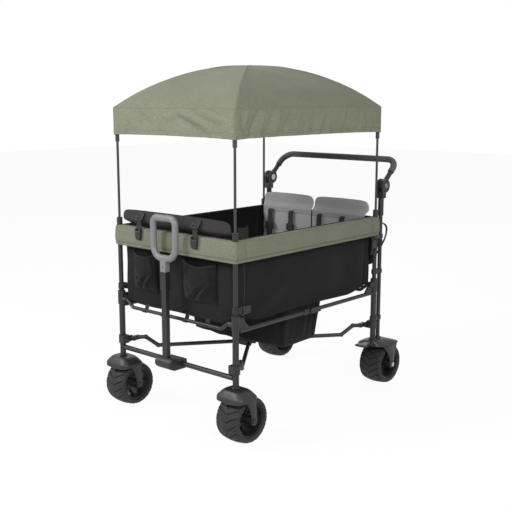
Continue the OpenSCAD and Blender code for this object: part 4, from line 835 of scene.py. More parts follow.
def build_tub():
    """Fabric walls of the tub: two ends with round corners, and two sides that ride on the rear frame."""
    half = TUB_X - MID_X
    end = SIDE_X1 - MID_X + PANEL_GAP
    wrinkle, cloth = sizes().panel_wrinkle, sizes().cloth
    v = np.linspace(0, 1, 34)[:, None]
    for sign, label in ((1, "front"), (-1, "rear")):
        line = corner_path(half - PANEL_IN, TUB_Y - PANEL_IN, TUB_CORNER, end, straight=72)
        step = unit(np.gradient(line, axis=0))
        out = np.stack([-step[:, 1], step[:, 0]], 1)
        low = TUB_LOW + panel_drop(line[:, 1], TUB_Y)
        z = low + v * (TUB_TOP - low)
        waves = (wrinkle * ripple(line[:, 1] + 0 * v, z, 0.17, 31 + sign)
                 * np.sin(np.pi * np.clip(v * 1.15, 0, 1)))
        tension = -END_TENSION * np.sin(np.pi * v) * np.cos(np.pi * line[:, 1] / (2 * TUB_Y)) ** 2
        points = np.empty(z.shape + (3,))
        points[..., :2] = line + out * (waves + tension + dragged(line[:, 1], z, END_DRAGS))[..., None]
        points[..., 2] = z
        points[..., 0] = MID_X + sign * points[..., 0]
        panel = make(f"tub_{label}_cloth", [surface(points, flip=sign < 0)], FINISHES["tub"])
        thicken(panel, cloth)
        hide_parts(f"tub_{label}_panel")
        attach(panel, f"{label}_frame")
    x = np.linspace(SIDE_X0 - PANEL_GAP / 2, SIDE_X1 + PANEL_GAP / 2, 110)[None]
    along = x - MID_X
    for sign, label in ((1, "left"), (-1, "right")):
        low = TUB_LOW + 0.006 * np.cos(np.pi * along / 0.68) ** 2
        low = low + 0.02 * np.clip((np.abs(along) - 0.24) / 0.1, 0, 1) ** 1.5
        z = low + v * (TUB_TOP - low)
        waves = wrinkle * 0.8 * ripple(along + 0 * v, 0.7 * z, 0.24, 36 + sign)
        waves = waves * np.sin(np.pi * np.clip(v * 1.1, 0, 1))
        belly = SIDE_BELLY * np.sin(np.pi * v) * np.cos(np.pi * along / 0.72)
        points = np.empty(z.shape + (3,))
        points[..., 0] = x
        points[..., 1] = sign * (TUB_Y - PANEL_IN + waves + belly + dragged(along, z, WALL_DRAGS))
        points[..., 2] = z
        panel = make(f"tub_{label}_cloth", [surface(points, flip=sign > 0)], FINISHES["tub"])
        thicken(panel, cloth)
        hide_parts("tub_side_panels")
        gather(panel, "rear_frame")


WELL_REAR, WELL_FRONT, WELL_Y, WELL_WALL = 0.125, 0.105, 0.246, 0.026
WELL_DEEP, WELL_SAG = 0.17, 0.008
FLOOR_CORNER, FLOOR_CLOTH = 0.032, 0.006


def floor_height(x, y):
    """Height of the floor: level benches, and a footwell with steep sides and a sagging bottom."""
    along = ease((x + WELL_REAR) / WELL_WALL) * ease((WELL_FRONT - x) / WELL_WALL)
    share = along * ease((WELL_Y - np.abs(y)) / WELL_WALL)
    deep = WELL_DEEP + WELL_SAG * (np.cos(np.pi * y / WELL_Y) - 1) / 2
    return BENCH - deep * share


def build_floor():
    """Floor of the tub with its footwell, in one fabric sheet with soft folds down the well."""
    low, high = span("tub_floor")
    hx, hy = (high[0] - low[0]) / 2, (high[1] - low[1]) / 2
    walls = np.linspace(0, WELL_WALL, 9)
    x = np.concatenate([np.linspace(-hx, -0.135, 14), -WELL_REAR + walls, np.linspace(-0.09, 0.07, 24),
                        WELL_FRONT - walls[::-1], np.linspace(0.115, hx, 14)])
    y = np.concatenate([-WELL_Y + walls, np.linspace(-0.21, 0.21, 40), WELL_Y - walls[::-1]])
    y = np.concatenate([[-hy, -0.258], y, [0.258, hy]])
    gx, gy = np.meshgrid(x, y, indexing="ij")
    z = floor_height(gx, gy)
    depth = (BENCH - z) / WELL_DEEP
    corner = np.maximum(0, np.abs(gx) - hx + FLOOR_CORNER)
    squeeze = 1 - (FLOOR_CORNER - np.sqrt(np.maximum(0, FLOOR_CORNER**2 - corner**2))) / hy
    folds = 0.0028 * np.sin(np.pi * np.clip(depth, 0, 1)) * ripple(gx + gy, 0.15 * z, 0.05, 41)
    bottom = 0.002 * np.clip(depth, 0, 1) ** 4 * ripple(gx, gy, 0.12, 42)
    points = np.stack([MID_X + gx - folds * np.sign(gx + 0.01), gy * squeeze - folds * np.sign(gy),
                       z + bottom], -1)
    sheet = make("tub_floor_cloth", [surface(points, flip=True)], FINISHES["tub"])
    thicken(sheet, FLOOR_CLOTH)
    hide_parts("tub_floor")
    gather(sheet, "rear_frame")


# Seats

SEAT_HALF = float(span("rear_seat_back")[1][2] - span("rear_seat_back")[0][2]) / 2
SEAT_SEAMS = (-0.065, 0.54)
SEAT_CORNER, PAD_CLEAR, BENCH_LENGTH, BENCH_GATHER = 0.03, 0.001, 0.205, 0.012
LEAN_START, LEAN_RISE, REAR_LEAN = 0.0006, 0.024, -0.018


def over_rim(points, lean, wider):
    """Moves what stands above the rim out by a lean and spreads it sideways by a share, smoothly."""
    share = ease((points[:, 2] - RIM_TOP - LEAN_START) / LEAN_RISE)
    return (points * np.stack([0 * share + 1, 1 + wider * share, 0 * share + 1], 1)
            + share[:, None] * [lean, 0, 0])


def cushion_grid(half_u, half_v, depth, corner, nu, nv, edge=0.22):
    """Flat closed tube: each row crosses the front face and returns across the back, with round corners."""
    v = np.linspace(-1, 1, nv)
    past = np.maximum(0, np.abs(v) * half_v - (half_v - corner))
    width = half_u - corner + np.sqrt(np.maximum(corner**2 - past**2, SMALL))
    u = np.linspace(-1, 1, nu)
    loop = np.concatenate([u, u[::-1][1:-1]])
    face = np.concatenate([[0], np.ones(nu - 2), [0], -np.ones(nu - 2)])
    crown = (np.sqrt(np.maximum(0, 1 - np.abs(loop) ** 6))[None]
             * np.sqrt(np.maximum(0, 1 - np.abs(v) ** 8))[:, None])
    w = face * depth * (edge + (1 - edge) * crown)
    x, y = loop[None] * width[:, None], np.broadcast_to((v * half_v)[:, None], w.shape)
    return np.stack([x, y, w], -1), loop, v, face


def cushion(name, half_u, half_v, depth, corner, finish, place, seams=(), nu=44, nv=48):
    """Filled pad, swelled by cloth under pressure between its sewn lines, then set in place."""
    local, loop, v, face = cushion_grid(half_u, half_v, depth, corner, nu, nv)
    sewn = np.zeros(local.shape[:2], bool)
    sewn[[0, -1]] = True
    sewn[:, np.abs(loop) > 0.999] = True
    for share in seams:
        row = int(np.argmin(np.abs(v - share)))
        sewn[row] |= face > 0
        sink = np.exp(-(((np.arange(nv) - row) / 1.1) ** 2))[:, None] * (face > 0)
        local[..., 2] -= depth * 0.45 * sink
    pad = make(name, [surface(local, (False, True), True)], FINISHES[finish], outward=True)
    swell(pad, np.flatnonzero(sewn.ravel()), 3.0, sizes().pad_swell)
    points = coordinates(pad.data)
    points[:, 2] = np.clip(points[:, 2], -depth - sizes().pad_swell, depth + sizes().pad_swell)
    points = place(points)
    pad.data.vertices.foreach_set("co", points.astype(np.float32).ravel())
    face_outward(pad.data)
    pad.data.update()
    soften(pad)
    return pad


def build_seats():
    """Rear seat back in two halves, front seat back, and the two bench pads."""
    low, high = span("rear_seat_back")
    mid, half_z = (low + high) / 2, (high[2] - low[2]) / 2
    depth = (high[0] - low[0]) / 2 - sizes().pad_swell - PAD_CLEAR
    quarter = high[1] / 2 + PAD_CLEAR
    for sign, label in ((1, "left"), (-1, "right")):
        centre = np.array([mid[0], sign * (quarter - 0.0004), mid[2]])
        place = lambda p: over_rim(centre + p[:, [2, 0, 1]], REAR_LEAN, 0.035)
        pad = cushion(f"rear_seat_{label}_half", quarter, half_z, depth, SEAT_CORNER, "light_seat", place,
                      SEAT_SEAMS, nu=36)
        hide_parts("rear_seat_back")
        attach(pad, "rear_frame")
    low, high = span("front_seat_back")
    plain = 2 * MID_X - mid[0]
    mid, half_z, half_y = (low + high) / 2, (high[2] - low[2]) / 2, high[1]
    lean = high[0] - low[0] - 2 * (depth + sizes().pad_swell + PAD_CLEAR)
    centre = np.array([plain, 0, mid[2]])
    place = lambda p: over_rim(centre + p[:, [2, 0, 1]] * [-1, 1, 1], lean, 0.045)
    pad = cushion("front_seat_pad", half_y, half_z, depth, SEAT_CORNER, "dark_seat", place, SEAT_SEAMS, nu=64)
    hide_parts("front_seat_back")
    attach(pad, "front_frame")
    low, high = span("seat_pads")
    half_x, half_y = BENCH_LENGTH / 2, high[1]
    swelling = (high[2] - low[2]) / 2 - sizes().pad_swell - PAD_CLEAR
    for sign, label in ((1, "front"), (-1, "rear")):
        x = (high[0] - half_x) if sign > 0 else (low[0] + half_x)
        z = (low[2] + high[2]) / 2
        place = lambda p: np.stack([x + p[:, 1], p[:, 0], z + p[:, 2]], 1)
        pad = cushion(f"{label}_bench_pad", half_y, half_x, swelling, SEAT_CORNER, "dark_seat", place, (),
                      nu=56, nv=30)
        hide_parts("seat_pads")
        if sign > 0:
            gather(pad, "rear_frame")
        else:
            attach(pad, "rear_frame")


# Blocks of a buckle as shares of its width, height and thickness: middle and half size
BUCKLE_BLOCKS = (
    ((0, 0, 0), (0.5, 0.34, 0.5)), ((0, -0.44, 0), (0.44, 0.1, 0.42)), ((-0.43, 0.3, 0), (0.07, 0.28, 0.36)),
    ((0.43, 0.3, 0), (0.07, 0.28, 0.36)), ((0, 0.1, 0.42), (0.2, 0.16, 0.16)),
)


def buckle(centre, width, height, thick, out, across):
    """Side-release buckle: a body, two prongs and a ladder bar, turned to face out."""
    centre, out, across = (np.asarray(value, float) for value in (centre, out, across))
    up = np.cross(out, across)
    turn = np.stack([across, up, out], 0)
    scale = np.array([width, height, thick])
    parts = []
    for place, half in BUCKLE_BLOCKS:
        points, faces, loops = rounded_block(np.array(place) * scale, np.array(half) * scale, 0.3)
        parts.append((points @ turn + centre, faces, loops))
    return parts


HARNESS_Y, HARNESS_BELOW = (-0.208, -0.096, 0.053, 0.166), 0.073
FRONT_STRAP_Y, CROWN_IN, STRAP_OUT = (-0.1624, 0.1218), 0.016, 0.0168


def build_harness():
    """Shoulder straps of the rear seat with their loops and sliders."""
    face = span("rear_harness")[0][0]
    straps, sliders = [], []
    width, thick = sizes().strap_width, sizes().strap
    top = span("rear_seat_back")[1][2] - HARNESS_BELOW
    for y in HARNESS_Y:
        path = curve([(face - 0.004, y, top + 0.004), (face + 0.0025, y, top - 0.004),
                      (face + 0.0045, y, top - 0.05), (face + 0.004, y, top - 0.10),
                      (face + 0.0055, y + 0.002, top - 0.15)], 30)
        straps.append(strap(path, width, thick, (0, 1, 0)))
        loop = curve([(face + 0.006, y, top - 0.035), (face + 0.009, y, top - 0.06),
                      (face + 0.008, y, top - 0.12)], 20)
        straps.append(strap(loop, width * 0.9, thick, (0, 1, 0)))
        centre = np.array([face + 0.0065, y, top - 0.062])
        for dz in (-0.011, 0, 0.011):
            sliders.append(rounded_block(centre + [0, 0, dz], (0.0032, 0.0185, 0.0028), 0.35))
        for dy in (-0.017, 0.017):
            sliders.append(rounded_block(centre + [0, dy, 0], (0.0032, 0.0026, 0.0135), 0.35))
    webs = make("rear_harness_straps", straps, FINISHES["webbing"], outward=True)
    clips = make("rear_harness_sliders", sliders, FINISHES["plastic"], outward=True)
    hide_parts("rear_harness")
    for piece in (webs, clips):
        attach(piece, "rear_frame")


def build_front_straps():
    """Two straps over the front rim from the seat back, each with a slider and a buckle on the rim."""
    straps, clips = [], []
    width, thick = sizes().strap_width, sizes().strap
    seat = span("front_seat_back")
    top, crown = seat[1][2], seat[1][0] - CROWN_IN
    out_x = FRONT_X + STRAP_OUT
    for y in FRONT_STRAP_Y:
        path = curve([(crown - 0.008, y, top - 0.0035), (crown + 0.004, y, top - 0.006),
                      (crown + 0.0125, y, top - 0.017), (out_x - 0.0005, y, top - 0.034),
                      (out_x + 0.001, y, RIM_TOP + 0.004), (out_x + 0.001, y, RIM_TOP - 0.02),
                      (out_x + 0.0015, y, RIM_TOP - 0.043)], 50)
        straps.append(strap(path, width, thick, (0, 1, 0)))
        slider = np.array([crown + 0.0165, y, top - 0.0215])
        tilt = np.array([0.0088, 0, -0.0108])
        for share in (-1, 0.15, 1):
            clips.append(rounded_block(slider + share * tilt, (0.0028, 0.0165, 0.0026), 0.35))
        for dy in (-0.0152, 0.0152):
            bar = np.linspace(slider - tilt, slider + tilt, 6) + [0, dy, 0]
            clips.append(tube(bar, 0.0026, (0, 1, 0), sides=10))
        clips += buckle((out_x + 0.005, y, RIM_TOP - 0.021), 0.029, 0.034, 0.010, (1, 0, 0), (0, 1, 0))
    webs = make("front_straps", straps, FINISHES["webbing"], outward=True)
    pieces = make("front_buckles", clips, FINISHES["plastic"], outward=True)
    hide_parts("front_seat_straps")
    for piece in (webs, pieces):
        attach(piece, "front_frame")


# Pockets, bag and loose straps

# Right and left edge and depth of the front pockets
POCKETS = ((-0.228, -0.1, 0.024), (0.034, 0.196, 0.03))
POCKET_TOP, POCKET_LOW, POCKET_DIP, POCKET_FOLD_W = 0.018, 0.158, 0.015, 0.009
POCKET_PROUD, POCKET_CLOTH, INNER_CLOTH = 0.0018, 0.0018, 0.0015
INNER_X, INNER_W, INNER_TOP, INNER_H, INNER_DEEP = 0.205, 0.068, 0.006, 0.11, 0.012
BAG_DEEPER, BAG_CLEAR, BAG_Y, BAG_CLOTH = 0.036, 0.0113, 0.229, 0.002
BAG_SWAG, BAG_WRINKLE, BAG_LOOP_R = 0.012, 0.0025, 0.0097
# Folds of a slouching pocket: how far each stands out, and its two ends as shares across and down
POCKET_FOLDS = (
    (0.009, (0.12, 0.95), (0.62, 0.62)), (-0.008, (0.3, 0.98), (0.8, 0.55)),
    (0.009, (0.45, 1.0), (0.92, 0.5)), (-0.007, (0.1, 0.35), (0.42, 0.8)), (0.006, (0.05, 0.15), (0.3, 0.62)),
    (0.005, (0.75, 0.12), (0.9, 0.45)),
)


def build_pockets():
    """Two slouching pockets with bound mouths on the front panel, and a small one inside the right wall."""
    bindings = []
    for number, (y0, y1, deep) in enumerate(POCKETS):
        u, v = np.meshgrid(np.linspace(0, 1, 60), np.linspace(0, 1, 50))
        across = np.sin(np.pi * u) ** 0.6
        top, low = RIM_LOW - POCKET_TOP, RIM_LOW - POCKET_LOW
        z = top + (low - top) * v - POCKET_DIP * np.sin(np.pi * u) ** 1.2 * (1 - v) ** 2
        y = y0 + (y1 - y0) * u
        out = deep * across * (0.75 * (1 - v) ** 1.6 + np.sin(np.pi * v**1.5) ** 0.8)
        sag = 0
        for lift, start, end in POCKET_FOLDS:
            ends = [(y0 + (y1 - y0) * place[0], top + (low - top) * place[1]) for place in (start, end)]
            sag = sag + lift * crease(y, z, *ends, POCKET_FOLD_W)
        sag = sag * across * np.minimum(1, 6 * (1 - v))
        points = np.stack([TUB_X + POCKET_PROUD + np.maximum(out + sag, 0), y, z], -1)
        pocket = make(f"front_pocket_{number + 1}", [surface(points, flip=True)], FINISHES["tub"])
        thicken(pocket, POCKET_CLOTH)
        area = grid_area(points)
        area = min(max(area, 0.0115), 0.038)
        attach(pocket, "front_frame")
        bindings.append(strap(points[0] + [0.0008, 0, -0.003], 0.008, 0.0034, (0, 0, 1)))
    binding = make("pocket_bindings", bindings, FINISHES["binding"], outward=True)
    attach(binding, "front_frame")
    u, v = np.meshgrid(np.linspace(0, 1, 24), np.linspace(0, 1, 20))
    x = MID_X - INNER_X - INNER_W * u
    z = RIM_LOW - INNER_TOP - INNER_H * v - 0.004 * np.sin(np.pi * u) * (1 - v) + 0.004 * u * (1 - v)
    y = -(TUB_Y - 0.0095) + INNER_DEEP * np.sin(np.pi * u) ** 0.8 * (0.6 * (1 - v) + np.sin(np.pi * v) ** 0.8)
    inside = make("inner_pocket", [surface(np.stack([x, y, z], -1), flip=True)], FINISHES["olive"])
    thicken(inside, INNER_CLOTH, 0.0)
    gather(inside, "rear_frame")


def build_bag():
    """Organiser bag behind the tub: a shell that bellies out and sags, hung by loops round the uprights."""
    low, high = span("rear_bag")
    x1 = UPRIGHT_X - BAG_CLEAR
    x0 = float(low[0]) - BAG_DEEPER
    mid_x, half_x, half_y = (x0 + x1) / 2, (x1 - x0) / 2, BAG_Y
    top = float(high[2])
    angle = np.linspace(0, 2 * np.pi, 120, endpoint=False)[None]
    v = np.linspace(0, 1, 40)[:, None]
    close = np.sqrt(np.maximum(0, 1 - np.clip((v - 0.72) / 0.28, 0, 1) ** 2.4))
    belly = (0.72 + 0.28 * np.sin(np.pi * np.clip(v * 1.05, 0, 1)) ** 0.8) * np.maximum(close, 0.02)
    width = (0.985 + 0.015 * np.sin(np.pi * v)) * (0.9 + 0.1 * np.maximum(close, 0.0))
    cx, cy = signed_power(np.cos(angle), 0.45), signed_power(np.sin(angle), 0.32)
    y = half_y * width * cy
    swag = BAG_SWAG * np.cos(np.pi * y / (2 * half_y)) ** 2 * (1 - v)
    z = top - (top - float(low[2])) * v - swag + 0.01 * v**3 * (np.abs(y) / half_y) ** 2
    x = mid_x + half_x * belly * cx
    x = x - BAG_WRINKLE * ripple(y, z, 0.09, 61) * np.clip(-cx, 0, 1) * np.sin(np.pi * v)
    points = np.stack([x, y, z], -1)
    bag = make("rear_bag_cloth", [surface(points, (False, True))], FINISHES["tub"])
    thicken(bag, BAG_CLOTH)
    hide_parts("rear_bag")
    parts = []
    for sign in (1, -1):
        turn = np.linspace(-0.5 * np.pi, 1.35 * np.pi, 40)
        loop_x, loop_y = UPRIGHT_X + BAG_LOOP_R * np.cos(turn), sign * (POST_Y + BAG_LOOP_R * np.sin(turn))
        ring = np.stack([loop_x, loop_y, np.full(40, RIM_LOW - 0.035)], 1)
        lead = [(x1 + 0.001, sign * 0.221, RIM_LOW - 0.033), (x1 + 0.002, sign * 0.25, RIM_LOW - 0.034),
                ring[0]]
        parts.append(strap(np.concatenate([curve(lead, 16)[:-1], ring]), 0.026, 0.002, (0, 0, 1)))
        handle = [(x1, sign * 0.2, top - 0.004), (x1 - 0.06, sign * 0.236, top + 0.012),
                  (x0 - 0.022, sign * 0.240, top - 0.012), (x0 - 0.002, sign * 0.240, top - 0.07),
                  (x1 - 0.004, sign * 0.234, top - 0.15)]
        parts.append(strap(curve(handle, 48), 0.010, 0.0024, (0.3, 1, 0.3)))
    parts.append(surface(sweep(points[0], flat_profile(0.014, 0.0034), UP, True), (True, True)))
    straps = make("rear_bag_straps", parts, FINISHES["webbing"], outward=True)
    for piece in (bag, straps):
        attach(piece, "rear_frame")


def ring_strap(x, y, z, radius, width, thick, start=0.0, turns=1.0):
    """Band of webbing round an upright tube."""
    angle = start + np.linspace(0, 2 * np.pi * turns, 36)
    path = np.stack([x + radius * np.cos(angle), y + radius * np.sin(angle), np.full(36, z)], 1)
    return strap(path, width, thick, (0, 0, 1))


BAR_R, BAR_LOOP_R, BAR_LOOP_Y = 0.0065, 0.0078, (-0.16, -0.06, 0.05, 0.15)


def build_post_straps():
    """Straps that tie the tub to the posts, their buckles, and loops that hold the panels to floor bars."""
    width, thick = sizes().strap_width, sizes().strap
    for body, x, names in (("front_frame", FRONT_X, "front"), ("rear_frame", REAR_X, "rear")):
        inward = 1 if x < MID_X else -1
        webs, clips = [], []
        for sign in (1, -1):
            if names == "front":
                y, z, r = sign * POST_Y, BENCH + 0.04, POST_R + 0.0022
                past = sign * r * np.sin(np.linspace(-np.pi / 2, np.pi / 2, 20))
                start = np.stack([np.full(20, x), y + past, np.full(20, z)], 1)
                tail = [start[-1], (x + inward * 0.02, y + sign * 0.009, z - 0.002),
                        (x + inward * 0.04, sign * (TUB_Y + 0.0022), z - 0.006),
                        (x + inward * 0.085, sign * (TUB_Y + 0.0018), z - 0.014)]
                webs.append(strap(np.concatenate([start, curve(tail, 24)[1:]]), width, thick, (0, 0, 1)))
                webs.append(ring_strap(x, y, z, POST_R + 0.0018, width, thick))
                centre = np.array([x + inward * 0.062, sign * (TUB_Y + 0.0036), z - 0.0105])
                clips += buckle(centre, 0.03, 0.044, 0.0046, (0, sign, 0), (0, 0, 1))
            else:
                y, z = sign * POST_Y, RIM_LOW - 0.022
                webs.append(ring_strap(x, y, z, POST_R + 0.0022, width, thick))
                hang = [(x + 0.024, y - sign * 0.004, RIM_LOW + 0.012),
                        (x + 0.022, y + sign * 0.004, z + 0.012), (x + 0.021, y + sign * 0.004, z - 0.023),
                        (x + 0.021, y + sign * 0.001, z - 0.053)]
                webs.append(strap(curve(hang, 24), width * 0.8, thick, (1, 0, 0)))
                clips += buckle((x + 0.021, y + sign * 0.008, z - 0.016), 0.028, 0.036, 0.010, (0, sign, 0),
                                (1, 0, 0))
        bar_z = float(span("front_floor_bar")[0][2]) + BAR_R
        panel_x = TUB_X - MID_X
        for y in BAR_LOOP_Y:
            turn = np.linspace(-0.1 * np.pi, 1.1 * np.pi, 24)
            ring = np.stack([x + BAR_LOOP_R * np.cos(turn) * -inward, np.full(24, y),
                             bar_z - BAR_LOOP_R * np.sin(turn)], 1)
            up = np.linspace(ring[-1], [MID_X - inward * (panel_x - 0.002), y, TUB_LOW + 0.016], 6)[1:]
            webs.append(strap(np.concatenate([ring, up]), 0.02, 0.0018, (0, 1, 0)))
        bands = make(f"{names}_post_straps", webs, FINISHES["webbing"], outward=True)
        pieces = make(f"{names}_post_buckles", clips, FINISHES["plastic"], outward=True)
        for piece in (bands, pieces):
            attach(piece, body)


# Forks and ring grip

FORK_CLEAR, FORK_WALL, ARM_TOP, ARM_EYE, ARM_HALF = 0.007, 0.003, 0.1645, 0.0135, 0.002
BOLT_PAST, BOLT_R, BOLT_HEAD = 0.007, 0.004, 0.008
HOOD_PAST, HOOD_RIPPLE, HOOD_LIP = 0.002, 0.0016, 0.003
EAR_R, EAR_OUT = 0.007, 0.0155
# Radius and height of the caster's stem collar, and of the rear sockets for post and upright
COLLAR_ROWS = ((0.0005, 0.184), (0.0155, 0.184), (0.0155, 0.1885), (0.0122, 0.1925), (0.0138, 0.1928),
               (0.0138, 0.1957), (0.0005, 0.1957))
POST_SOCKET_ROWS = ((0.0005, 0.18), (0.0165, 0.18), (0.0165, 0.193), (0.015, 0.1957), (0.0005, 0.1957))
UPRIGHT_SOCKET_ROWS = ((0.0005, 0.18), (0.0135, 0.18), (0.0135, 0.196), (0.012, 0.199), (0.0082, 0.199),
                       (0.0082, 0.19), (0.0005, 0.19))


def rounded_ring(turn, front, back, side, power):
    """Plan of a box with rounded corners, by angle from +X, with its own reach in front and behind."""
    c, s = np.cos(turn), np.sin(turn)
    reach = (np.abs(c / np.where(c > 0, front, back)) ** power + np.abs(s / side) ** power) ** (-1 / power)
    return np.stack([reach * c, reach * s], 1)


def turned(place, rows):
    """Solid of revolution about an upright axis from its radius and height, row by row."""
    turn = np.linspace(0, 2 * np.pi, 40, endpoint=False)
    rings = [np.column_stack([r * np.cos(turn), r * np.sin(turn), np.full(40, z)]) + [*place, 0]
             for r, z in rows]
    return surface(np.stack(rings), (False, True), True)


def cross_bolt(x, y, z, half, radius, head):
    """Bolt across the wheel with a domed head at each end, as a solid of revolution about Y."""
    turn = np.linspace(0, 2 * np.pi, 28, endpoint=False)
    profile = [(0.0005, -half), (0.6 * head, -half), (head, -half + 0.002), (head, -half + 0.005),
               (radius, -half + 0.0051)]
    profile += [(r, -w) for r, w in reversed(profile)]
    rings = [np.column_stack([x + r * np.cos(turn), np.full(28, y + w), z + r * np.sin(turn)])
             for r, w in profile]
    return surface(np.stack(rings), (False, True), True)


def hood(place, reach, seat, levels, drop):
    """Pressed hood over a wheel: a flat seat, convex slopes to the edge, and a lip that hangs lower in front.

    reach is front, back and side; seat is its middle and half sizes; levels are the heights of seat and edge.
    """
    turn = np.linspace(0, 2 * np.pi, 96, endpoint=False)
    forward = np.maximum(0, np.cos(turn)) ** 1.5
    edge = rounded_ring(turn, *reach, np.where(np.cos(turn) > 0, 4.5, 6.0))
    top = np.array(seat[0]) + rounded_ring(turn, seat[1][0], seat[1][0], seat[1][1], 4.0)
    rows = []
    for share in (0.02, 0.6, 0.92):
        rows.append(np.column_stack([np.array(seat[0]) * (1 - share) + top * share, np.full(96, levels[0])]))
    for share in np.linspace(0, 1, 16):
        fall = (levels[0] - levels[1]) * share**1.35
        rows.append(np.column_stack([top + (edge - top) * share, np.full(96, levels[0] - fall)]))
    for share in np.linspace(0, 1, 8)[1:]:
        length = drop[0] + drop[1] * forward + HOOD_RIPPLE * np.cos(7 * turn) * forward
        lip = edge + (HOOD_LIP * share * forward)[:, None] * unit(edge)
        rows.append(np.column_stack([lip, levels[1] - length * share]))
    return np.stack(rows) + [place[0], place[1], 0]


def blade(outline, y, half):
    """Upright plate with bevelled edges from its outline in X and Z."""
    middle = outline.mean(0)
    rows = []
    for inset, depth in ((0.96, -1.0), (1.0, -0.6), (1.0, 0.6), (0.96, 1.0)):
        flat = middle + (outline - middle) * inset
        rows.append(np.column_stack([flat[:, 0], np.full(len(flat), y + half * depth), flat[:, 1]]))
    return surface(np.stack(rows), (False, True), True)


def arm(x, y, z, top, front, back, eye):
    """Arm of a fork: wide at the hood, scalloped in front, narrowing to a round eye at the axle."""
    fall = np.linspace(1, 0, 20)
    front_line = np.stack([eye + (front - eye) * fall**2.2, (top - z) * fall], 1)
    back_line = np.stack([-eye + (back + eye) * fall**1.1, (top - z) * fall], 1)
    turn = np.linspace(0, -np.pi, 18)[1:-1]
    outline = np.concatenate([front_line, eye * np.stack([np.cos(turn), np.sin(turn)], 1), back_line[::-1]])
    return blade(outline + [x, z], y, ARM_HALF)


def pedal_ears(post):
    """Two ears in front of a rear post, round about the brake pedal's pin."""
    pivot = np.array(JOINTS["brake_left_press"]["pos_m"])[[0, 2]]
    turn = np.linspace(np.pi / 2, -np.pi / 2, 14)
    nose = pivot + EAR_R * np.stack([np.cos(turn), np.sin(turn)], 1)
    outline = np.concatenate([nose, [[REAR_X, 0.173], [REAR_X - 0.012, 0.173], [REAR_X - 0.012, 0.189]]])
    return [blade(outline, post + way * EAR_OUT, ARM_HALF) for way in (1, -1)]


def build_forks():
    """Forks of the wheels: a hood and two blades, with a caster's bolt and collar or sockets and ears."""
    low, high = span("front_tyre_left")
    wide, hub_z = float(high[1] - low[1]) / 2 + FORK_CLEAR, float(high[2]) / 2
    hood_y = wide + HOOD_PAST
    for end in ("front", "rear"):
        for side, sign in (("left", 1), ("right", -1)):
            low, high = span(f"{end}_tyre_{side}")
            x, y = (low[0] + high[0]) / 2, (low[1] + high[1]) / 2
            if end == "front":
                seat = (-0.002, 0), (0.029, 0.036)
                shell = hood((FRONT_X, y), (0.041, 0.048, hood_y), seat, (0.187, 0.165), (0.008, 0.009))
                reach = (FRONT_X - x + 0.02, FRONT_X - x - 0.037)
                tops = [((FRONT_X, y), COLLAR_ROWS)]
                extra = [cross_bolt(x, y, hub_z, wide + BOLT_PAST, BOLT_R, BOLT_HEAD)]
            else:
                post = sign * POST_Y
                seat = (0.057, post - y), (0.034, 0.02)
                shell = hood((x, y), (0.091, 0.046, hood_y), seat, (0.188, 0.170), (0.004, -0.002))
                reach = (0.062, -0.033)
                tops = [((REAR_X, post), POST_SOCKET_ROWS), ((UPRIGHT_X, post), UPRIGHT_SOCKET_ROWS)]
                extra = pedal_ears(post)
            cap = make(f"{end}_fork_{side}_hood", [surface(shell, (False, True))], FINISHES["tube"])
            thicken(cap, FORK_WALL)
            parts = [turned(*top) for top in tops]
            parts += [arm(x, y + way * wide, hub_z, ARM_TOP, *reach, ARM_EYE) for way in (1, -1)]
            blades = make(f"{end}_fork_{side}_blades", parts + extra, FINISHES["tube"], outward=True)
            for piece in (cap, blades):
                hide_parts(f"caster_fork_{side}" if end == "front" else "rear_forks")
                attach(piece, f"caster_{side}" if end == "front" else "rear_frame")


RING_R, RING_FOOT, RING_TAPER = 0.0095, 0.594, 0.045
RING_TOP_TURN, RING_LOW_TURN, RING_SECTION = 0.022, 0.038, (0.0108, 0.0122)


def build_ring():
    """Thick moulded sleeve on the ring of the pull grip, wider above than below."""
    low, high = span("pull_grip")
    x, side = (low[0] + high[0]) / 2, high[1] - RING_R
    top, foot = high[2] - RING_R, RING_FOOT + RING_R
    line = []
    for quarter, (across, up) in enumerate(((1, 1), (-1, 1), (-1, -1), (1, -1))):
        radius = RING_TOP_TURN if up > 0 else RING_LOW_TURN
        turn = np.radians(90 * quarter + np.linspace(0, 90, 16))
        middle = across * (side - radius), (top if up > 0 else foot) - up * radius
        line.append(np.array(middle) + radius * np.stack([np.cos(turn), np.sin(turn)], 1))
    line = np.concatenate(line)
    line[:, 0] *= 1 + RING_TAPER * (line[:, 1] - (top + foot) / 2) / (top - foot)
    path = np.column_stack([np.full(len(line), x), line])
    steps = np.linalg.norm(np.diff(np.vstack([path, path[:1]]), axis=0), axis=1)
    at = np.concatenate([[0], np.cumsum(steps)])
    even = np.linspace(0, at[-1], 140, endpoint=False)
    path = np.stack([np.interp(even, at, np.append(path[:, k], path[0, k])) for k in range(3)], 1)
    sleeve = sweep(path, round_profile(1, 20) * RING_SECTION, (1, 0, 0), True)
    ring = make("ring_sleeve", [surface(sleeve, (True, True))], FINISHES["grip"], outward=True)
    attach(ring, "pull_grip")


# Tyres

STEPS_PER_LUG, BEAD_GAP = 20, 0.0003
SHOULDER_H, SHOULDER_W, TREAD_CROWN = 0.0125, 0.0125, 0.004
WALL_RIB, WALL_RIB_IN = 0.0007, 0.0165


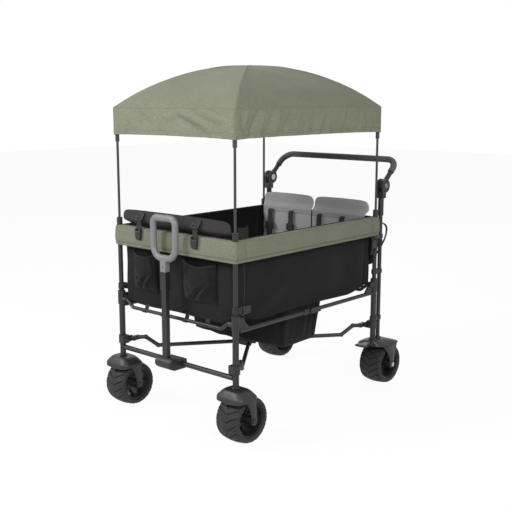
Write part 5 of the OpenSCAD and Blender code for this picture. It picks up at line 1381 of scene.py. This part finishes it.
def tyre_grid(node):
    """Tyre as a closed ring: its section from bead to bead, with chevron grooves cut into the tread."""
    low, high = span(node)
    centre, radius, half = (low + high) / 2, (high[2] - low[2]) / 2, (high[1] - low[1]) / 2
    lugs = sizes().lugs
    turn = np.linspace(0, 2 * np.pi, lugs * STEPS_PER_LUG, endpoint=False)[None]
    bead = span(node.replace("tyre", "rim"))
    seat = float(bead[1][2] - bead[0][2]) / 2 + BEAD_GAP
    side_r = np.array([seat, seat + 0.003, seat + 0.0075, radius - SHOULDER_H])
    side_y = np.array([half - 0.007, half - 0.0015, half, half - 0.0006])
    shoulder = np.linspace(0, 1, 6)
    shoulder_y = half - 0.0012 - 0.0088 * shoulder**1.4
    shoulder_r = radius - 0.0098 + 0.0058 * shoulder**0.7
    flat = half - SHOULDER_W
    tread_y = np.linspace(flat, -flat, 33)
    tread_r = radius - TREAD_CROWN * (np.abs(tread_y) / flat) ** 2.2
    y = np.concatenate([side_y, shoulder_y, tread_y, -shoulder_y[::-1], -side_y[::-1]])
    r = np.concatenate([side_r, shoulder_r, tread_r, shoulder_r[::-1], side_r[::-1]])
    y, r = y[:, None], r[:, None]
    place = turn / (2 * np.pi) * lugs - 1.05 * np.abs(y) / half
    edge = np.abs(place - np.round(place))
    groove = np.clip((0.13 - edge) / 0.05, 0, 1)
    middle = np.clip((0.0022 - np.abs(y + 0.0035 * np.sign(np.sin(2 * np.pi * place)))) / 0.0015, 0, 1) * 0.5
    between = np.abs(place + 0.5 - np.round(place + 0.5))
    notch = np.clip((0.08 - between) / 0.05, 0, 1) * 0.6 * (np.abs(y) > 0.62 * half)
    on_tread = (np.clip((r - (radius - SHOULDER_H)) / 0.004, 0, 1)
                * np.clip((1 - np.abs(y) / half) / 0.2, 0.35, 1))
    cut = np.maximum(np.maximum(groove, notch), middle)
    rr = r - sizes().groove * cut * on_tread
    rib = WALL_RIB * np.clip(1 - np.abs(r - radius + WALL_RIB_IN) / 0.0012, 0, 1)
    yy = y + 0 * turn + np.sign(y) * rib
    points = np.stack([centre[0] + rr * np.cos(turn), centre[1] + yy, centre[2] + rr * np.sin(turn)], -1)
    return np.concatenate([points, (points[-1:] + points[:1]) / 2])


def build_tyres():
    """Four wide tyres with chevron treads."""
    for end in ("front", "rear"):
        for side in ("left", "right"):
            node = f"{end}_tyre_{side}"
            tyre = make(f"{end}_{side}_tread", [surface(tyre_grid(node), (True, True))], FINISHES["rubber"],
                        outward=True)
            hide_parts(node)
            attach(tyre, f"{end}_wheel_{side}")


# Finishes of the frame and the stage


def build_finishes():
    """Makes every material and gives the frame's own pieces theirs."""
    c = colours()
    cloth_finish("canvas", c.canvas, c.canvas_fleck, 0.45, stitches=(0.009,), thread=c.canvas_fleck)
    cloth_finish("canvas_trim", c.canvas, c.canvas_fleck, 0.4)
    cloth_finish("rim", shade(c.canvas, 0.86), shade(c.canvas_fleck, 0.86), 0.45, stitches=(0.0112,),
                 thread=shade(c.canvas, 0.6), turned=True)
    cloth_finish("olive", shade(c.canvas, 0.3), shade(c.canvas, 0.5), 0.5)
    cloth_finish("tub", c.tub, shade(c.tub, 2.4), 0.5, 560.0, 0.45)
    seams = tuple((share + 1) * SEAT_HALF for share in SEAT_SEAMS)
    cloth_finish("light_seat", c.light_seat, shade(c.light_seat, 1.3), 0.4, 800.0, stitches=seams,
                 thread=shade(c.light_seat, 0.5))
    cloth_finish("dark_seat", c.dark_seat, shade(c.dark_seat, 1.5), 0.5, 800.0)
    # painted highlight: the binding is lighter than the tub so that the rolled edges of the pocket mouths and the
    # rim's piping read as lit
    cloth_finish("binding", shade(c.tub, 1.6), shade(c.tub, 3.0), 0.4, 500.0, 0.5)
    webbing_finish("webbing", c.webbing)
    moulded_finish("tube", c.tube, shade(c.tube, 1.7), 0.42, 1400.0, 0.12)
    moulded_finish("pole", c.pole, shade(c.pole, 1.5), 0.3, 1200.0, 0.06, metallic=0.35)
    moulded_finish("plastic", c.plastic, shade(c.plastic, 2.0), 0.42, 1100.0, 0.25)
    moulded_finish("grip", c.grip, shade(c.grip, 1.25), 0.4, 900.0, 0.15)
    moulded_finish("foam", c.foam, shade(c.foam, 1.3), 0.72, 520.0, 0.6)
    moulded_finish("rubber", c.rubber, shade(c.rubber, 1.8), 0.62, 420.0, 0.3, dust=0.1)
    moulded_finish("steel", (0.42, 0.42, 0.42), (0.6, 0.6, 0.6), 0.28, 900.0, 0.08, metallic=1.0)
    slots = {"frame_metal": "tube", "fork_metal": "tube", "steel": "steel", "pole_metal": "pole",
             "black_plastic": "plastic", "grey_plastic": "grip", "tyre": "rubber", "foam": "foam",
             "green_fabric": "rim", "black_fabric": "tub", "light_seat": "light_seat",
             "dark_seat": "dark_seat", "webbing": "webbing"}
    for part in frame["record"]["subparts"]:
        mesh = frame["nodes"][part["node"]].data
        mesh.materials.clear()
        mesh.materials.append(FINISHES[slots[part["material_slot"]]])


LENS_MM, SENSOR_MM = 61.77, 36.0
CAMERA_AZIMUTH, CAMERA_TILT, CAMERA_PLACE = 131.8072, 10.3568, (2.444 + MID_X, 2.208, 1.153)
SKY_LIGHT, FLOOR_GLOW, FLOOR_HALF, FLOOR_BELOW = 0.36, 0.94, 14.0, 0.0005
# Place, target, size and power of each lamp
LAMPS = {
    "key": ((3.3, -2.0, 3.1), (0, 0, 0.75), 1.7, 148),
    "fill": ((2.6, 3.4, 2.9), (0, 0, 0.75), 1.9, 138),
    "back": ((-3.0, -2.0, 3.0), (0, 0, 0.7), 2.6, 40),
}


def world_matrix(right, back, place):
    """World matrix of a camera or lamp from its right and back directions and its place."""
    matrix = np.eye(4)
    matrix[:3, :3], matrix[:3, 3] = np.stack([right, np.cross(back, right), back], 1), place
    return Matrix(matrix.tolist())


def seen_directly(tree):
    """One for rays from the camera, a mirror or glass, and zero for those that light a surface."""
    path = add_node(tree, "ShaderNodeLightPath").outputs
    bounced = maths(tree, "MAXIMUM", path["Is Glossy Ray"], path["Is Transmission Ray"])
    return maths(tree, "MAXIMUM", path["Is Camera Ray"], bounced)


def area_light(name, place, target, size, power):
    """Soft lamp that faces a point."""
    lamp = bpy.data.lights.new(name, "AREA")
    lamp.shape, lamp.size, lamp.energy = "DISK", size, power
    obj = bpy.data.objects.new(name, lamp)
    back = unit(np.asarray(place, float) - np.asarray(target, float))
    obj.matrix_world = world_matrix(unit(np.cross(UP, back)), back, place)
    bpy.context.scene.collection.objects.link(obj)


def build_stage():
    """Camera at the photographed angle, soft lamps, a pale floor and a white surround."""
    scene = bpy.context.scene
    scene.view_settings.view_transform = "Standard"
    lens = bpy.data.cameras.new("camera")
    lens.lens, lens.sensor_width = LENS_MM, SENSOR_MM
    camera = bpy.data.objects.new("camera", lens)
    azimuth, tilt = math.radians(CAMERA_AZIMUTH), math.radians(CAMERA_TILT)
    back = np.array([math.sin(azimuth) * math.cos(tilt), -math.cos(azimuth) * math.cos(tilt), math.sin(tilt)])
    right = np.array([math.cos(azimuth), math.sin(azimuth), 0.0])
    camera.matrix_world = world_matrix(right, back, CAMERA_PLACE)
    scene.collection.objects.link(camera)
    scene.camera = camera
    world = scene.world or bpy.data.worlds.new("surround")
    scene.world = world
    world.use_nodes = True
    tree = world.node_tree
    sky = tree.nodes["Background"]
    sky.inputs["Color"].default_value = (1, 1, 1, 1)
    tree.links.new(ranged(tree, seen_directly(tree), 0.0, 1.0, SKY_LIGHT, 1.0), sky.inputs["Strength"])
    material = bpy.data.materials.new("floor")
    material.use_nodes = True
    tree = material.node_tree
    shader = tree.nodes["Principled BSDF"]
    shader.inputs["Base Color"].default_value = (0.9, 0.9, 0.9, 1)
    shader.inputs["Roughness"].default_value = 0.9
    shader.inputs["Specular IOR Level"].default_value = 0.1
    glow = add_node(tree, "ShaderNodeEmission", None, Color=(1, 1, 1, 1), Strength=1.0)
    share = maths(tree, "MULTIPLY", seen_directly(tree), FLOOR_GLOW)
    mix = add_node(tree, "ShaderNodeMixShader", None, i0=share, i1=shader.outputs[0], i2=glow.outputs[0])
    tree.links.new(mix.outputs[0], tree.nodes["Material Output"].inputs["Surface"])
    line = np.linspace(-1, 1, 9) * FLOOR_HALF
    gx, gy = np.meshgrid(line, line)
    floor = make("floor", [surface(np.stack([gx, gy, 0 * gx - FLOOR_BELOW], -1))], material)
    for name, lamp in LAMPS.items():
        area_light(name, *lamp)


class WagonOperator:
    """Shared settings of the wagon's operators."""

    bl_options = {"REGISTER", "UNDO"}


class WAGON_OT_finishes(WagonOperator, bpy.types.Operator):
    """Make the materials and dress the frame's own pieces"""

    bl_idname, bl_label = "wagon.finishes", "Finishes"

    def execute(self, context):
        build_finishes()
        return {"FINISHED"}


class WAGON_OT_stage(WagonOperator, bpy.types.Operator):
    """Set up the camera, the lamps and the floor"""

    bl_idname, bl_label = "wagon.stage", "Stage"

    def execute(self, context):
        build_stage()
        return {"FINISHED"}


class WAGON_OT_canopy(WagonOperator, bpy.types.Operator):
    """Build the canopy cover, its seams and its ribs"""

    bl_idname, bl_label = "wagon.canopy", "Canopy"

    def execute(self, context):
        build_canopy()
        return {"FINISHED"}


class WAGON_OT_rim(WagonOperator, bpy.types.Operator):
    """Build the padded rim"""

    bl_idname, bl_label = "wagon.rim", "Rim"

    def execute(self, context):
        build_rim()
        return {"FINISHED"}


class WAGON_OT_tub(WagonOperator, bpy.types.Operator):
    """Build the tub's walls and floor"""

    bl_idname, bl_label = "wagon.tub", "Tub"

    def execute(self, context):
        build_tub()
        build_floor()
        return {"FINISHED"}


class WAGON_OT_seats(WagonOperator, bpy.types.Operator):
    """Build the seat backs, the bench pads and the harness"""

    bl_idname, bl_label = "wagon.seats", "Seats"

    def execute(self, context):
        build_seats()
        build_harness()
        build_front_straps()
        return {"FINISHED"}


class WAGON_OT_pockets(WagonOperator, bpy.types.Operator):
    """Build the pockets, the rear bag and the post straps"""

    bl_idname, bl_label = "wagon.pockets", "Pockets and straps"

    def execute(self, context):
        build_pockets()
        build_bag()
        build_post_straps()
        return {"FINISHED"}


class WAGON_OT_tyres(WagonOperator, bpy.types.Operator):
    """Build the tyres"""

    bl_idname, bl_label = "wagon.tyres", "Tyres"

    def execute(self, context):
        build_tyres()
        return {"FINISHED"}


class WAGON_OT_moulded(WagonOperator, bpy.types.Operator):
    """Build the forks of the wheels and the sleeve of the ring grip"""

    bl_idname, bl_label = "wagon.moulded", "Forks and ring"

    def execute(self, context):
        build_forks()
        build_ring()
        return {"FINISHED"}


class WAGON_PT_panel(bpy.types.Panel):
    """Sidebar panel that lists the wagon's pieces"""

    bl_idname, bl_label = "WAGON_PT_panel", "Stroller wagon"
    bl_space_type, bl_region_type, bl_category = "VIEW_3D", "UI", "Wagon"

    def draw(self, context):
        for operator in OPERATORS:
            self.layout.operator(operator.bl_idname)
        for settings in (context.scene.wagon_sizes, context.scene.wagon_colours):
            for key in settings.__annotations__:
                self.layout.prop(settings, key)


OPERATORS = (WAGON_OT_finishes, WAGON_OT_stage, WAGON_OT_canopy, WAGON_OT_rim, WAGON_OT_tub, WAGON_OT_seats,
             WAGON_OT_pockets, WAGON_OT_tyres, WAGON_OT_moulded)
CLASSES = (WagonColours, WagonSizes) + OPERATORS + (WAGON_PT_panel,)


def register():
    """Adds the classes and the scene's settings."""
    for cls in CLASSES:
        bpy.utils.register_class(cls)
    bpy.types.Scene.wagon_colours = bpy.props.PointerProperty(type=WagonColours)
    bpy.types.Scene.wagon_sizes = bpy.props.PointerProperty(type=WagonSizes)


def unregister():
    """Removes them again."""
    del bpy.types.Scene.wagon_sizes, bpy.types.Scene.wagon_colours
    for cls in reversed(CLASSES):
        bpy.utils.unregister_class(cls)


def main():
    """Builds the wagon's looks in order."""
    register()
    for operator in OPERATORS:
        group, name = operator.bl_idname.split(".")
        getattr(getattr(bpy.ops, group), name)()


if __name__ == "__main__":
    main()
